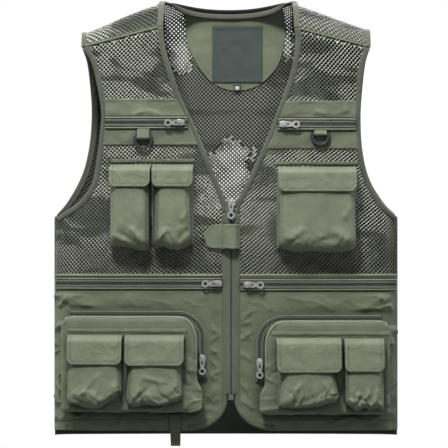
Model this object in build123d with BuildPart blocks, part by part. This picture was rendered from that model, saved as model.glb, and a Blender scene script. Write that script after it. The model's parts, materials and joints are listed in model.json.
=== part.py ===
from build123d import *
import os
from math import sin, cos, tan, radians, sqrt, asin

os.makedirs("parts", exist_ok=True)

# Mesh fishing vest, millimetres. +Z is up, -Y is the front of the vest, and +X is the
# wearer's left. The origin is the middle of the hanger seat: on the centre plane, midway
# between front and back, level with the highest point of the shoulders.
# The body is an oval tube: a broad arc in front and behind, and a tight round at each side
# seam. Soft layers are stacked outwards from that oval, and a layer's "low" and "high" are
# heights above it; negative heights are inside the vest.

# ---- directions ----
FRONT, BACK = -1, 1
SIGN = {"left": 1, "right": -1}     # sign of x on the wearer's left and right

# ---- body oval ----
HALF_WIDTH = 272.5          # half the flat chest width
SIDE_R = 40.0               # round at the side seam
FLARE = 10.0                # degrees the front has turned where it meets the side round
LENGTH = 680.0              # shoulder to hem
SIDE_X = HALF_WIDTH - SIDE_R        # centre of the side round
BROAD_R = SIDE_X / sin(radians(FLARE)) + SIDE_R
DEPTH = SIDE_R + SIDE_X * tan(radians(FLARE / 2))
ARC_Y = BROAD_R - DEPTH     # the broad arc's centre is this far beyond the centre plane

# ---- how a layer is cut out: an upright tube of cloth meets an outline seen from the front
PRISM_LOW, PRISM_H = -720.0, 760.0
SEAM_GAP = 1.5              # front and back stop this far from the side seam's hinge line
CUT_DEPTH = 200.0
CUT_X = 276.0               # outlines run out to here, past the side seam

# ---- fabric ----
FABRIC = 1.2
LAYER = 0.2                 # air between two layers
BASE = FABRIC + LAYER       # where parts sewn on the fronts start
BAND_HIGH = 2.4             # outer face of the chest band
BAND_TOP = BAND_HIGH + LAYER
BINDING_W = 8.0
BINDING_LOW = -0.6          # inner face of every binding
ARM_BINDING_HIGH = 2.0      # outer face of the armhole and back neck bindings
FRONT_BINDING_HIGH = 1.9
OVERLAP = 0.2               # a binding's inner line laps the panel by this much
WALL = 1.4                  # pocket cloth

# ---- places ----
ZIP_X = 8.0                 # the centre front zip is a little to the wearer's left
LIP = 5.0                   # zip centre to the binding's edge
EDGE = LIP + BINDING_W      # zip centre to the panel's edge
HEM_Z = -LENGTH
WAIST_Z = -432.0            # mesh above, woven below
MESH_LOW_Z = WAIST_Z + 0.2
CORNER_Z = -629.0           # the front edge starts to curve away to the hem
CORNER_RX, CORNER_RZ = 62.0, 51.0
UNDERARM_Z = -339.0
ZIP_TOP_Z = -326.0
ZIP_END_Z = -622.0

# ---- edge lines seen from the front, as (x, z) ----
# Neck edge of each front from the shoulder seam down to the zip (outer line of the binding).
NECK_OUT = {
    "left": [(109, -39.45), (110.5, -60), (107.5, -88), (101, -116), (91, -145), (78, -180),
             (67.5, -208), (54, -239), (39, -271), (25, -299), (ZIP_X + LIP, -322)],
    "right": [(-100, -37.15), (-97, -66), (-90.5, -92), (-82, -118), (-73, -145), (-57, -180),
              (-44, -208), (-31, -239), (-18, -271), (-6, -299), (ZIP_X - LIP, -322)],
}
# Width across the binding at each of those points, measured along x.
NECK_STEP = [8.0, 8.0, 8.3, 8.5, 8.6, 8.7, 8.8, 8.8, 8.7, 8.6, 8.0]
# Left armhole: outer line of the binding, and the line where the mesh starts.
ARM_OUT = [(229, -70.17), (219, -94), (211, -142), (209, -178), (213, -221), (221.5, -261),
           (234.5, -291.5), (254, -321), (CUT_X, UNDERARM_Z)]
ARM_IN = [(221, -68.12), (211, -95), (203, -142), (201, -179), (205, -223), (214, -265.5),
          (228.5, -299), (249.5, -330), (CUT_X, UNDERARM_Z - 9)]
# Back neck from the wearer's left to right: top of the mesh, and the binding's two lines.
BACK_NECK_MESH = [(90, -14), (50, -15.5), (0, -17.5), (-50, -15.5), (-90, -14)]
BACK_BINDING_LOWER = [(89, -13.6), (50, -15.2), (0, -17.2), (-50, -15.2), (-89, -13.6)]
BACK_BINDING_UPPER = [(94, -0.5), (50, -4.5), (0, -8), (-50, -4.5), (-94, -0.5)]
# Curved lower edge of the facing inside the back neck, from right to left.
FACING_EDGE = [(-66, -20), (-64, -45), (-57, -75), (-41, -103), (-18, -127), (14, -137),
               (44, -132), (66, -118), (84, -96), (93, -68), (93, -40), (90, -20)]

# ---- shoulders ----
SHOULDER_X = 101.0          # seam and ridge heights are measured from this x
SEAM_Z, SEAM_SLOPE = -37.0, 0.256
RIDGE_SLOPE = 0.398
YOKE_OUTER_X = 229.0
YOKE_INNER_X = {"right": 100.0, "left": 109.0}


# ================= shared helpers =================
def save(part, name):
    part.label = name
    export_step(part, f"parts/{name}.step")


def joined(pieces):
    """One part made of several pieces."""
    with BuildPart() as group:
        for piece in pieces:
            add(piece)
    return group.part


def arc_y(x):
    """Distance of the broad arc from the centre plane at x."""
    return sqrt(BROAD_R ** 2 - x * x) - ARC_Y


def seam_z(x):
    """Height of the shoulder seam, front and back."""
    return SEAM_Z - (abs(x) - SHOULDER_X) * SEAM_SLOPE


def ridge_z(x):
    """Height of the top of the shoulder."""
    return -(abs(x) - SHOULDER_X) * RIDGE_SLOPE


def face_plane(x, z, height=0.0):
    """Plane on the front at (x, z): x axis across, y axis up, z axis straight out."""
    turn = asin(x / BROAD_R)
    out = Vector(sin(turn), -cos(turn), 0)
    across = Vector(cos(turn), sin(turn), 0)
    origin = Vector(0, ARC_Y, 0) + out * (BROAD_R + height) + Vector(0, 0, z)
    return Plane(origin=origin, x_dir=across, z_dir=out)


def plan_band(low, high, face):
    """Plan section of one layer of the front or back."""
    flare = radians(FLARE)
    mid_turn = radians(45 + FLARE / 2)

    def joint(sign, height):
        return (sign * (BROAD_R + height) * sin(flare),
                face * ((BROAD_R + height) * cos(flare) - ARC_Y))

    def mid(sign, height):
        return (sign * (SIDE_X + (SIDE_R + height) * sin(mid_turn)),
                face * (SIDE_R + height) * cos(mid_turn))

    with BuildSketch(Plane.XY.offset(PRISM_LOW)) as band:
        with BuildLine():
            for height in (low, high):
                ThreePointArc((-HALF_WIDTH - height, 0), mid(-1, height), joint(-1, height))
                ThreePointArc(joint(-1, height), (0, face * (DEPTH + height)), joint(1, height))
                ThreePointArc(joint(1, height), mid(1, height), (HALF_WIDTH + height, 0))
            for sign in (-1, 1):
                Line((sign * (HALF_WIDTH + low), 0), (sign * (HALF_WIDTH + high), 0))
        make_face()
    return band.sketch


def cut_plane(face):
    """Plane for outlines seen from the front: x axis across, y axis up."""
    return Plane.XZ.offset(-face * SEAM_GAP)


def layer(low, high, face):
    """Add the whole front or back layer to the open part."""
    extrude(plan_band(low, high, face), amount=PRISM_H)


def trim(face):
    """Cut the open part down to the outline just drawn on the cut plane."""
    extrude(amount=-face * CUT_DEPTH, mode=Mode.INTERSECT)


def on_side(points, sign, dx=0.0, dz=0.0):
    """Points of the wearer's left, shifted and then put on the given side."""
    return [(sign * (x + dx), z + dz) for x, z in points]


HOOK_R = 38.0               # bend of the pouch pocket's zip


def ribbon(low, high, rects, hooks=(), face=FRONT):
    """Strips lying on the front or back. Each rect is its middle x and z, width and height.
    Each hook runs along a pocket's top and down its inner side: inner x, top z, outer x,
    end z, side sign, and its two edges' offsets from that path."""
    with BuildPart() as strip:
        layer(low, high, face)
        with BuildSketch(cut_plane(face)):
            for x, z, width, height in rects:
                with Locations((x, z)):
                    Rectangle(width, height)
            for x_in, z_top, x_out, z_end, sign, edge_0, edge_1 in hooks:
                bend_x, bend_z = x_in + sign * HOOK_R, z_top - HOOK_R
                with BuildLine():
                    for edge in (edge_0, edge_1):
                        reach = (HOOK_R + edge) * sin(radians(45))
                        Line((x_out, z_top + edge), (bend_x, z_top + edge))
                        ThreePointArc((bend_x, z_top + edge),
                                      (bend_x - sign * reach, bend_z + reach),
                                      (x_in - sign * edge, bend_z))
                        Line((x_in - sign * edge, bend_z), (x_in - sign * edge, z_end))
                    Line((x_out, z_top + edge_0), (x_out, z_top + edge_1))
                    Line((x_in - sign * edge_0, z_end), (x_in - sign * edge_1, z_end))
                make_face()
        trim(face)
    return strip.part


# ================= back and shoulders =================
def back_mesh_panel():
    seam_left = (108.6, seam_z(108.6) - 0.4)
    seam_right = (-99.6, seam_z(99.6) - 0.4)
    arm_right = on_side(ARM_IN, -1)
    with BuildPart() as panel:
        layer(0, FABRIC, BACK)
        with BuildSketch(cut_plane(BACK)):
            with BuildLine():
                Polyline((-CUT_X, MESH_LOW_Z), (CUT_X, MESH_LOW_Z), ARM_IN[-1])
                Spline(*reversed(ARM_IN))
                Polyline(ARM_IN[0], seam_left, (106, -24), BACK_NECK_MESH[0])
                Spline(*BACK_NECK_MESH)
                Polyline(BACK_NECK_MESH[-1], (-97, -24), seam_right, arm_right[0])
                Spline(*arm_right)
                Line(arm_right[-1], (-CUT_X, MESH_LOW_Z))
            make_face()
        trim(BACK)
    return panel.part


def armhole_binding(face, signs):
    """Binding round the front or back half of the armhole on each given side."""
    with BuildPart() as binding:
        layer(BINDING_LOW, ARM_BINDING_HIGH, face)
        with BuildSketch(cut_plane(face)):
            for sign in signs:
                outer = on_side(ARM_OUT, sign)
                inner = on_side(ARM_IN, sign, 0.3, OVERLAP)
                with BuildLine():
                    Spline(*outer)
                    Spline(*inner)
                    Line(outer[0], inner[0])
                    Line(outer[-1], inner[-1])
                make_face()
        trim(face)
    return binding.part


def back_neck_binding():
    with BuildPart() as binding:
        layer(BINDING_LOW, ARM_BINDING_HIGH, BACK)
        with BuildSketch(cut_plane(BACK)):
            with BuildLine():
                Spline(*BACK_BINDING_LOWER)
                Spline(*BACK_BINDING_UPPER)
                Line(BACK_BINDING_LOWER[0], BACK_BINDING_UPPER[0])
                Line(BACK_BINDING_LOWER[-1], BACK_BINDING_UPPER[-1])
            make_face()
        trim(BACK)
    return binding.part


def back_neck_facing():
    """Woven facing inside the back neck."""
    with BuildPart() as facing:
        layer(-1.4, -0.4, BACK)
        with BuildSketch(cut_plane(BACK)):
            with BuildLine():
                Spline(*FACING_EDGE)
                Line(FACING_EDGE[-1], FACING_EDGE[0])
            make_face()
        trim(BACK)
    return facing.part


def arch(x, low, high):
    """Section of the shoulder at x, an arch from the front seam to the back seam."""
    with BuildSketch(Plane.YZ.offset(x)) as section:
        with BuildLine():
            for height in (low, high):
                half = arc_y(x) + height
                ThreePointArc((-half, seam_z(x)), (0, ridge_z(x) - FABRIC + height),
                              (half, seam_z(x)))
            for sign in (-1, 1):
                Line((sign * (arc_y(x) + low), seam_z(x)), (sign * (arc_y(x) + high), seam_z(x)))
        make_face()
    return section.sketch


def shoulder_yokes():
    """Mesh over the top of both shoulders."""
    with BuildPart() as yokes:
        for side, inner_x in YOKE_INNER_X.items():
            sign = SIGN[side]
            loft([arch(sign * inner_x, 0, FABRIC), arch(sign * YOKE_OUTER_X, 0, FABRIC)])
    return yokes.part


LABEL_X = 18.5
lower_h = WAIST_Z - HEM_Z + 3
save(back_mesh_panel(), "back_mesh_panel")
save(ribbon(0, FABRIC, [(0, WAIST_Z - lower_h / 2, 560, lower_h)], face=BACK),
     "back_lower_panel")
save(armhole_binding(BACK, (-1, 1)), "armhole_bindings_back")
save(back_neck_binding(), "back_neck_binding")
save(back_neck_facing(), "back_neck_facing")
# Label on the facing's inner side, and a folded size tab below it.
save(ribbon(-2.3, -1.6, [(LABEL_X, -79, 80, 90)], face=BACK), "neck_label")
save(ribbon(-3.4, -1.6, [(LABEL_X, -131.5, 11, 13)], face=BACK), "size_tab")
save(shoulder_yokes(), "shoulder_yokes")


# ================= fronts =================
# Quarter of the ellipse at each front's lower corner.
QUARTER = {"left": dict(start_angle=180, arc_size=90),
           "right": dict(start_angle=270, arc_size=90)}
# side: top z, bottom z, inner x at the top, inner x at the bottom
CHEST_BAND = {"left": (-155, -231, 98, 67.5), "right": (-152, -226, -79, -47)}
BAG_X = 140


def neck_inner(side):
    """Line where the front's mesh starts, from the shoulder seam down to the zip."""
    points = [(x + SIGN[side] * step, z) for (x, z), step in zip(NECK_OUT[side], NECK_STEP)]
    top_x = points[0][0]
    points[0] = (top_x, seam_z(top_x) - 0.4)
    return points


def front_mesh(side):
    sign = SIGN[side]
    neck = neck_inner(side)
    arm = on_side(ARM_IN, sign)
    with BuildPart() as mesh:
        layer(0, FABRIC, FRONT)
        with BuildSketch(cut_plane(FRONT)):
            with BuildLine():
                Line(arm[0], neck[0])
                Spline(*neck)
                Polyline(neck[-1], (ZIP_X + sign * EDGE, MESH_LOW_Z),
                         (sign * CUT_X, MESH_LOW_Z), arm[-1])
                Spline(*reversed(arm))
            make_face()
        trim(FRONT)
    return mesh.part


def front_lower_panel(side):
    sign = SIGN[side]
    edge = ZIP_X + sign * EDGE
    corner_x = ZIP_X + sign * (LIP + CORNER_RX)
    with BuildPart() as panel:
        layer(0, FABRIC, FRONT)
        with BuildSketch(cut_plane(FRONT)):
            with BuildLine():
                Line((edge, WAIST_Z), (edge, CORNER_Z))
                EllipticalCenterArc((corner_x, CORNER_Z), CORNER_RX - BINDING_W,
                                    CORNER_RZ - BINDING_W, **QUARTER[side])
                Line((corner_x, HEM_Z + BINDING_W), (corner_x, HEM_Z))
                Polyline((corner_x, HEM_Z), (sign * CUT_X, HEM_Z), (sign * CUT_X, WAIST_Z),
                         (edge, WAIST_Z))
            make_face()
        trim(FRONT)
    return panel.part


def front_edge_binding(side):
    """Binding down the neck edge, along the zip and round the lower corner."""
    sign = SIGN[side]
    outer = NECK_OUT[side]
    inner = [(x - sign * OVERLAP, z) for x, z in neck_inner(side)]
    corner_x = ZIP_X + sign * (LIP + CORNER_RX)
    width = BINDING_W - OVERLAP
    with BuildPart() as binding:
        layer(BINDING_LOW, FRONT_BINDING_HIGH, FRONT)
        with BuildSketch(cut_plane(FRONT)):
            with BuildLine():
                Line(outer[0], inner[0])
                Spline(*outer)
                Spline(*inner)
                Line(outer[-1], (ZIP_X + sign * LIP, CORNER_Z))
                Line(inner[-1], (ZIP_X + sign * (EDGE - OVERLAP), CORNER_Z))
                EllipticalCenterArc((corner_x, CORNER_Z), CORNER_RX, CORNER_RZ,
                                    **QUARTER[side])
                EllipticalCenterArc((corner_x, CORNER_Z), CORNER_RX - BINDING_W + OVERLAP,
                                    CORNER_RZ - BINDING_W + OVERLAP, **QUARTER[side])
                Line((corner_x, HEM_Z), (corner_x, HEM_Z + width))
            make_face()
        trim(FRONT)
    return binding.part


def chest_band(side):
    """Woven band across the chest that carries the zip pocket and the D-ring."""
    sign = SIGN[side]
    top, bottom, top_x, bottom_x = CHEST_BAND[side]
    with BuildPart() as band:
        layer(BASE, BAND_HIGH, FRONT)
        with BuildSketch(cut_plane(FRONT)):
            with BuildLine():
                Polyline((sign * 199.5, top), (top_x, top), (bottom_x, bottom),
                         (sign * 203.5, bottom), (sign * 199.5, top))
            make_face()
        trim(FRONT)
    return band.part


def pocket_bags(side):
    """Bags inside the front: a small one behind the chest zip, a big one at the waist."""
    x = SIGN[side] * BAG_X
    top, bottom = CHEST_BAND[side][:2]
    with BuildPart() as bags:
        layer(-2.2, -1.0, FRONT)
        with BuildSketch(cut_plane(FRONT)):
            with Locations((x, (top + bottom) / 2)):
                Rectangle(100, top - bottom - 8)
            with Locations((x, -548)):
                RectangleRounded(200, 196, 12)
        trim(FRONT)
    return bags.part


for side in ("left", "right"):
    save(front_mesh(side), f"front_mesh_{side}")
    save(front_lower_panel(side), f"front_lower_panel_{side}")
    save(front_edge_binding(side), f"front_edge_binding_{side}")
    save(armhole_binding(FRONT, (SIGN[side],)), f"armhole_binding_front_{side}")
    save(chest_band(side), f"chest_band_{side}")
    save(pocket_bags(side), f"pocket_bags_{side}")


# ================= zips =================
# Heights above the zip's own base plane.
PLATE_LOW, PLATE_LOW_T = 0.25, 1.0
TAPE_Z, TAPE_T = 1.5, 0.5
COIL_Z, COIL_T = TAPE_Z + TAPE_T, 1.8
SLIDER_LIP_Z = 2.45
PLATE_TOP, PLATE_TOP_T = 4.1, 1.3
BRIDGE_Z = PLATE_TOP + 0.8
BRIDGE_W = 2.2
PIVOT_Z = 7.0               # pull tab pivot
TAB_T = 1.5
EYE_X, EYE_R, EYE_OUTER_R = -19.2, 3.0, 5.9

# Distances from the zip's centre line.
COIL_W, COIL_GAP = 2.2, 1.5
COIL_IN = COIL_GAP / 2
COIL_OUT = COIL_IN + COIL_W
TAPE_IN, TAPE_OUT, WELT_IN = COIL_IN + 0.3, 9.5, 6.0
MAIN_TAPE_OUT = 4.8

# Slider outlines as (along the zip, across) and (along the zip, height).
PLATE_OUTLINE = [(-6.5, -3.4), (-4.5, -4.9), (2.5, -5.4), (7.0, -3.2), (7.0, 3.2),
                 (2.5, 5.4), (-4.5, 4.9), (-6.5, 3.4), (-6.5, -3.4)]
BRIDGE_OUTLINE = [(-4.6, BRIDGE_Z), (-4.6, 8.3), (-3.2, 9.7), (3.2, 9.7), (4.6, 8.3),
                  (4.6, BRIDGE_Z), (3.3, BRIDGE_Z), (3.3, 7.9), (2.6, 8.6), (-2.6, 8.6),
                  (-3.3, 7.9), (-3.3, BRIDGE_Z), (-4.6, BRIDGE_Z)]
TAB_OUTLINE = [(0.9, -2.9), (0.9, 2.9), (-0.6, 4.1), (-7.5, 4.1), (-12.5, 2.6), (-16.5, 2.9),
               (-16.5, -2.9), (-12.5, -2.6), (-7.5, -4.1), (-0.6, -4.1), (0.9, -2.9)]

# side: chest zip (middle x, z, length), its slider x; waist zip the same;
# pouch pocket zip (upright run x, level run z, outer end x, lower end z), its slider z
ZIPS = {
    "left": ((140.0, -192.5, 120.0), 91.5, (146.0, -448.0, 238.0), 35.0,
             (53.5, -502.5, 246.0, -579.0), -572.0),
    "right": ((-126.0, -190.0, 120.0), -72.5, (-136.0, -446.0, 258.0), -13.5,
              (-37.5, -495.5, -247.0, -573.0), -566.0),
}


def slider_body(plane):
    """Zip slider: two plates joined by a thin web, side lips, and a bridge for the pull tab.
    The plane's x axis runs along the zip, and its origin is under the slider's middle."""
    out = Axis(plane.origin, plane.z_dir)
    with BuildPart() as body:
        with BuildSketch(plane.offset(PLATE_TOP)):
            with BuildLine():
                Polyline(*PLATE_OUTLINE)
            make_face()
        extrude(amount=PLATE_TOP_T)
        fillet(body.edges().filter_by(out), 0.8)
        fillet(body.faces().sort_by(out)[-1].edges(), 0.5)
        with BuildSketch(plane.offset(PLATE_LOW)):
            RectangleRounded(12.0, 9.0, 2.0)
        extrude(amount=PLATE_LOW_T)
        # web between the plates, thin enough to run between the two coils
        with BuildSketch(plane.offset(PLATE_LOW)):
            with Locations((1.0, 0)):
                SlotOverall(9.0, 0.9)
        extrude(amount=PLATE_TOP - PLATE_LOW + 0.3)
        # lips that close the channel over the coils' outer sides
        with BuildSketch(plane.offset(SLIDER_LIP_Z)):
            with Locations((-0.6, 4.15), (-0.6, -4.15)):
                Rectangle(7.0, 1.0)
        extrude(amount=PLATE_TOP - SLIDER_LIP_Z + 0.2)
        # bridge the pull tab hangs from
        with BuildSketch(Plane(origin=plane.origin + plane.y_dir * (BRIDGE_W / 2),
                               x_dir=plane.x_dir, z_dir=plane.y_dir * -1)):
            with BuildLine():
                Polyline(*BRIDGE_OUTLINE)
            make_face()
        extrude(amount=BRIDGE_W)
    return body.part


def pull_tab(plane):
    """Pull tab lying along -X of the plane: a slotted arm with a round eye at its end."""
    with BuildPart() as tab:
        with BuildSketch(plane.offset(PIVOT_Z - TAB_T / 2)):
            with BuildLine():
                Polyline(*TAB_OUTLINE)
            make_face()
            with Locations((EYE_X, 0)):
                Circle(EYE_OUTER_R)
            with Locations((EYE_X, 0)):
                Circle(EYE_R, mode=Mode.SUBTRACT)
            with Locations((-4.6, 0)):
                RectangleRounded(7.6, 3.4, 1.2, mode=Mode.SUBTRACT)
        extrude(amount=TAB_T)
    return tab.part


def slider_plane(x, z, height, sign=0):
    """Plane under a slider at (x, z). Its x axis runs towards the centre from the side
    given by sign, or up if there is none."""
    plane = face_plane(x, z, height)
    along = plane.x_dir * -sign if sign else plane.y_dir
    return Plane(origin=plane.origin, x_dir=along, z_dir=plane.z_dir)


def save_slider(plane, kind, suffix=""):
    save(slider_body(plane), f"{kind}_slider{suffix}")
    save(pull_tab(plane), f"{kind}_pull{suffix}")


def pocket_zips(sign, chest, waist, hook):
    """Welts, tapes and coils of one front's three pocket zips."""
    strips = []
    # inner and outer distance from the centre line, low and high above the base
    for inner, outer, low, high in ((WELT_IN, TAPE_OUT, 0.05, TAPE_Z + 0.1),
                                    (TAPE_IN, TAPE_OUT, TAPE_Z, COIL_Z),
                                    (COIL_IN, COIL_OUT, COIL_Z - 0.1, COIL_Z + COIL_T)):
        mid, width = (inner + outer) / 2, outer - inner
        bent = [(*hook, sign, *edges) for edges in ((inner, outer), (-outer, -inner))]
        for base, (x, z, length), hooks in ((BAND_TOP, chest, ()), (BASE, waist, bent)):
            rects = [(x, z + row * mid, length, width) for row in (-1, 1)]
            strips.append(ribbon(base + low, base + high, rects, hooks))
    return joined(strips)


for side, (chest, chest_x, waist, waist_x, hook, hook_z) in ZIPS.items():
    sign = SIGN[side]
    save(pocket_zips(sign, chest, waist, hook), f"pocket_zips_{side}")
    save_slider(slider_plane(chest_x, chest[1], BAND_TOP, sign), "chest", f"_{side}")
    save_slider(slider_plane(waist_x, waist[1], BASE, sign), "waist", f"_{side}")
    save_slider(slider_plane(hook[0], hook_z, BASE), "cargo", f"_{side}")

# Centre front separating zip. The left half's chain stops below the parked slider, so that
# front can swing away; the right half's runs on through the slider.
MAIN_RISE = {"left": 0.0, "right": 12.0}    # chain's top above ZIP_TOP_Z
MAIN_SLIDER_RISE = 8.0
main_plane = face_plane(ZIP_X, ZIP_TOP_Z)


def main_zip_half(side):
    rise = MAIN_RISE[side]
    with BuildPart() as half:
        for inner, outer, low, thick in ((TAPE_IN, MAIN_TAPE_OUT, TAPE_Z, TAPE_T),
                                         (COIL_IN, COIL_OUT, COIL_Z, COIL_T)):
            with BuildSketch(main_plane.offset(low)):
                with Locations((SIGN[side] * (inner + outer) / 2, rise)):
                    Rectangle(outer - inner, ZIP_TOP_Z - ZIP_END_Z + rise,
                              align=(Align.CENTER, Align.MAX))
            extrude(amount=thick)
    return half.part


def main_zip_box():
    """Retainer box just below the ends of both chains."""
    out = Axis(main_plane.origin, main_plane.z_dir)
    with BuildPart() as box:
        with BuildSketch(main_plane.offset(TAPE_Z - 0.4)):
            with Locations((0, ZIP_END_Z - ZIP_TOP_Z - 0.3)):
                Rectangle(8.6, 9.0, align=(Align.CENTER, Align.MAX))
        extrude(amount=3.6)
        fillet(box.edges().filter_by(out), 1.2)
        fillet(box.faces().sort_by(out)[-1].edges(), 0.6)
    return box.part


for side in ("left", "right"):
    save(main_zip_half(side), f"main_zip_half_{side}")
save(main_zip_box(), "main_zip_box")
save_slider(slider_plane(ZIP_X, ZIP_TOP_Z + MAIN_SLIDER_RISE, 0.0), "main")


# ================= pouches and flaps =================
MOUTH = 9.0                 # a pouch's mouth is this far below its flap seam
POUCH_R = 5.0
FLAP_T = 1.4
FLAP_R = 12.0
FLAP_GAP = 2.4              # flap's underside above the pouch's face
PIVOT_OUT = 1.9             # flap hinge line, out from the plane it is sewn to
PAD_T = 0.8
LOOP_GAP, HOOK_GAP = 0.1, 1.4       # pads' undersides above the pouch's face
# Loop pad under the closing tab: middle x and z, width, height.
TAB_PAD = (-22.0, -372.0, 18.0, 24.0)

# name: side, middle x, flap seam z, flap width and height, bottom z, mouth depth, face lean
CHEST = {
    "chest_flap_right_outer": ("right", -151.3, -257.3, 66.0, 40.0, -386.0, 15.0, 5.5),
    "chest_flap_right_inner": ("right", -84.2, -257.3, 66.0, 40.0, -386.0, 15.0, 5.5),
    "chest_flap_left": ("left", 143.5, -260.8, 126.0, 44.0, -392.0, 15.0, 6.0),
}
CARGO = {
    "cargo_flap_right_outer": ("right", -207.6, -528.0, 88.0, 52.0, -637.0, 10.0, 6.0),
    "cargo_flap_right_inner": ("right", -112.5, -528.0, 95.0, 53.5, -636.0, 10.0, 6.0),
    "cargo_flap_left_inner": ("left", 130.5, -532.5, 104.0, 60.0, -641.0, 10.0, 6.0),
    "cargo_flap_left_outer": ("left", 218.5, -533.5, 64.0, 58.0, -643.0, 10.0, 6.0),
}
# side: inner edge x, top z, outer edge x, bottom z, inner and outer top corner radius
CARGO_BOX = {
    "left": (63.5, -512.5, 258.5, -652.0, 27.0, 12.0),
    "right": (-47.5, -505.5, -259.5, -648.0, 28.0, 12.0),
}
BOX_DEPTH = 22.0
# side: the stitched strip above the chest flap seams, as middle x and z, width, height
HEADER = {"left": (143.5, -256.0, 131.0, 8.0), "right": (-116.0, -252.6, 132.0, 8.0)}


def side_plane(plane, width):
    """Plane of a pouch's side, for profiles drawn as (out, up)."""
    return Plane(origin=plane.origin + plane.x_dir * width / 2, x_dir=plane.z_dir,
                 z_dir=plane.x_dir * -1)


def pouch(plane, width, height, front, angle):
    """Bellows pouch: a face that leans out towards the bottom, with a gusset round the sides
    and bottom. It is open behind, where it is sewn down, and on top under its flap."""
    out, up = Axis(plane.origin, plane.z_dir), Axis(plane.origin, plane.y_dir)
    bulge = front + (height - MOUTH - 12) * tan(radians(angle))
    with BuildPart() as bag:
        with BuildSketch(side_plane(plane, width)):
            with BuildLine():
                Polyline((0, -MOUTH), (front, -MOUTH), (bulge, -height + 12),
                         (bulge - 3, -height + 3), (bulge - 9, -height), (0, -height),
                         (0, -MOUTH))
            make_face()
        extrude(amount=width)
        # round the side faces' edges, all but those behind and at the mouth
        sides = bag.faces().sort_by(Axis(plane.origin, plane.x_dir))
        rims = [e for f in (sides[0], sides[-1]) for e in f.edges()
                if abs((e.center() - plane.origin).dot(plane.z_dir)) > 1
                and (e.center() - plane.origin).dot(plane.y_dir) < -MOUTH - 1
                and (e.center() - plane.origin).dot(plane.y_dir) > -height + 0.5]
        fillet(rims, POUCH_R)
        offset(amount=-WALL,
               openings=[bag.faces().sort_by(out)[0], bag.faces().sort_by(up)[-1]])
    return bag.part


def flap(plane, width, height, front, angle):
    """Flap sewn down along the plane's x axis. It slopes out over the pouch's mouth, then
    hangs parallel to the pouch's face."""
    lean = radians(angle)

    def at(along, off):
        """Profile point this far down the pouch's face from its mouth, and off the face."""
        return (front + cos(lean) * off + sin(lean) * along,
                -MOUTH + sin(lean) * off - cos(lean) * along)

    leg = (height - MOUTH) / cos(lean)
    outside = FLAP_GAP + FLAP_T
    with BuildPart() as cloth:
        with BuildSketch(side_plane(plane, width)):
            with BuildLine():
                Polyline((0.3, -1.8), (PIVOT_OUT - 0.2, -0.2), at(-0.8, outside),
                         at(leg, outside), at(leg, FLAP_GAP), at(0.3, FLAP_GAP), (0.3, -1.8))
            make_face()
        extrude(amount=width)
        # round the two lower corners
        with BuildSketch(plane.offset(-2)):
            with Locations((0, FLAP_R)):
                RectangleRounded(width, height + FLAP_R, FLAP_R,
                                 align=(Align.CENTER, Align.MAX))
        extrude(amount=60, mode=Mode.INTERSECT)
    return cloth.part


def pad(plane, width, front, angle, drop, gap):
    """Hook or loop pad lying gap above a pouch's face, drop below its mouth."""
    lean = radians(angle)
    face = Plane(origin=plane.origin - plane.y_dir * MOUTH + plane.z_dir * front,
                 x_dir=plane.x_dir,
                 z_dir=plane.z_dir * cos(lean) + plane.y_dir * sin(lean))
    with BuildPart() as piece:
        with BuildSketch(face.offset(gap)):
            with Locations((0, -drop)):
                RectangleRounded(min(width * 0.5, 46), 14, 1.5)
        extrude(amount=PAD_T)
    return piece.part


def box_plane(side):
    """Plane on the front at the middle of a cargo pocket's top edge."""
    x_in, top, x_out = CARGO_BOX[side][:3]
    return face_plane((x_in + x_out) / 2, top, BASE)


def cargo_pocket(side):
    """Box pocket, hollow and open behind, trimmed to the front of the vest."""
    x_in, top, x_out, bottom, r_in, r_out = CARGO_BOX[side]
    mid = box_plane(side)
    width, height = abs(x_out - x_in), top - bottom
    inner_end, outer_end = (0, -1) if side == "left" else (-1, 0)
    with BuildPart() as pocket:
        # the solid outside, then the hollow; both start well behind the front
        for inset, floor, deep in ((0.0, -40.0, BOX_DEPTH), (WALL, -45.0, BOX_DEPTH - WALL)):
            with BuildSketch(mid.offset(floor)) as outline:
                with Locations((0, -inset)):
                    Rectangle(width - 2 * inset, height - 2 * inset,
                              align=(Align.CENTER, Align.MAX))
                top_row = outline.vertices().group_by(Axis.Y)[-1]
                fillet(top_row.sort_by(Axis.X)[inner_end], r_in - inset)
                top_row = outline.vertices().group_by(Axis.Y)[-1]
                fillet(top_row.sort_by(Axis.X)[outer_end], r_out - inset)
                fillet(outline.vertices().group_by(Axis.Y)[0], 10.0 - inset)
            extrude(amount=deep - floor, mode=Mode.SUBTRACT if inset else Mode.ADD)
            if not inset:
                fillet(pocket.faces().sort_by(Axis(mid.origin, mid.z_dir))[-1].edges(), 3.0)
        extrude(plan_band(BASE, 60.0, FRONT), amount=PRISM_H, mode=Mode.INTERSECT)
    return pocket.part


def flap_plane(kind, side, x, z):
    """Plane a flap is sewn to: the vest's front, or the cargo pocket's outer face."""
    if kind == "chest":
        return face_plane(x, z, BASE)
    box = box_plane(side).offset(BOX_DEPTH + 0.1)
    across = (x - box.origin.X) / box.x_dir.X
    return Plane(origin=box.origin + box.x_dir * across + Vector(0, 0, z - box.origin.Z),
                 x_dir=box.x_dir, z_dir=box.z_dir)


for side in CARGO_BOX:
    save(cargo_pocket(side), f"cargo_pocket_{side}")

pouches = {(kind, side): [] for kind in ("chest", "cargo") for side in SIGN}
loop_pads = {side: [] for side in SIGN}
for kind, table in (("chest", CHEST), ("cargo", CARGO)):
    for name, (side, x, z, width, height, bottom, front, angle) in table.items():
        plane = flap_plane(kind, side, x, z)
        pouches[kind, side].append(pouch(plane, width - 5.0, z - bottom, front, angle))
        loop_pads[side].append(pad(plane, width, front, angle, height * 0.5, LOOP_GAP))
        hook_pad = pad(plane, width, front, angle, height * 0.5, HOOK_GAP)
        save(joined([flap(plane, width, height, front, angle), hook_pad]), name)

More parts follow.
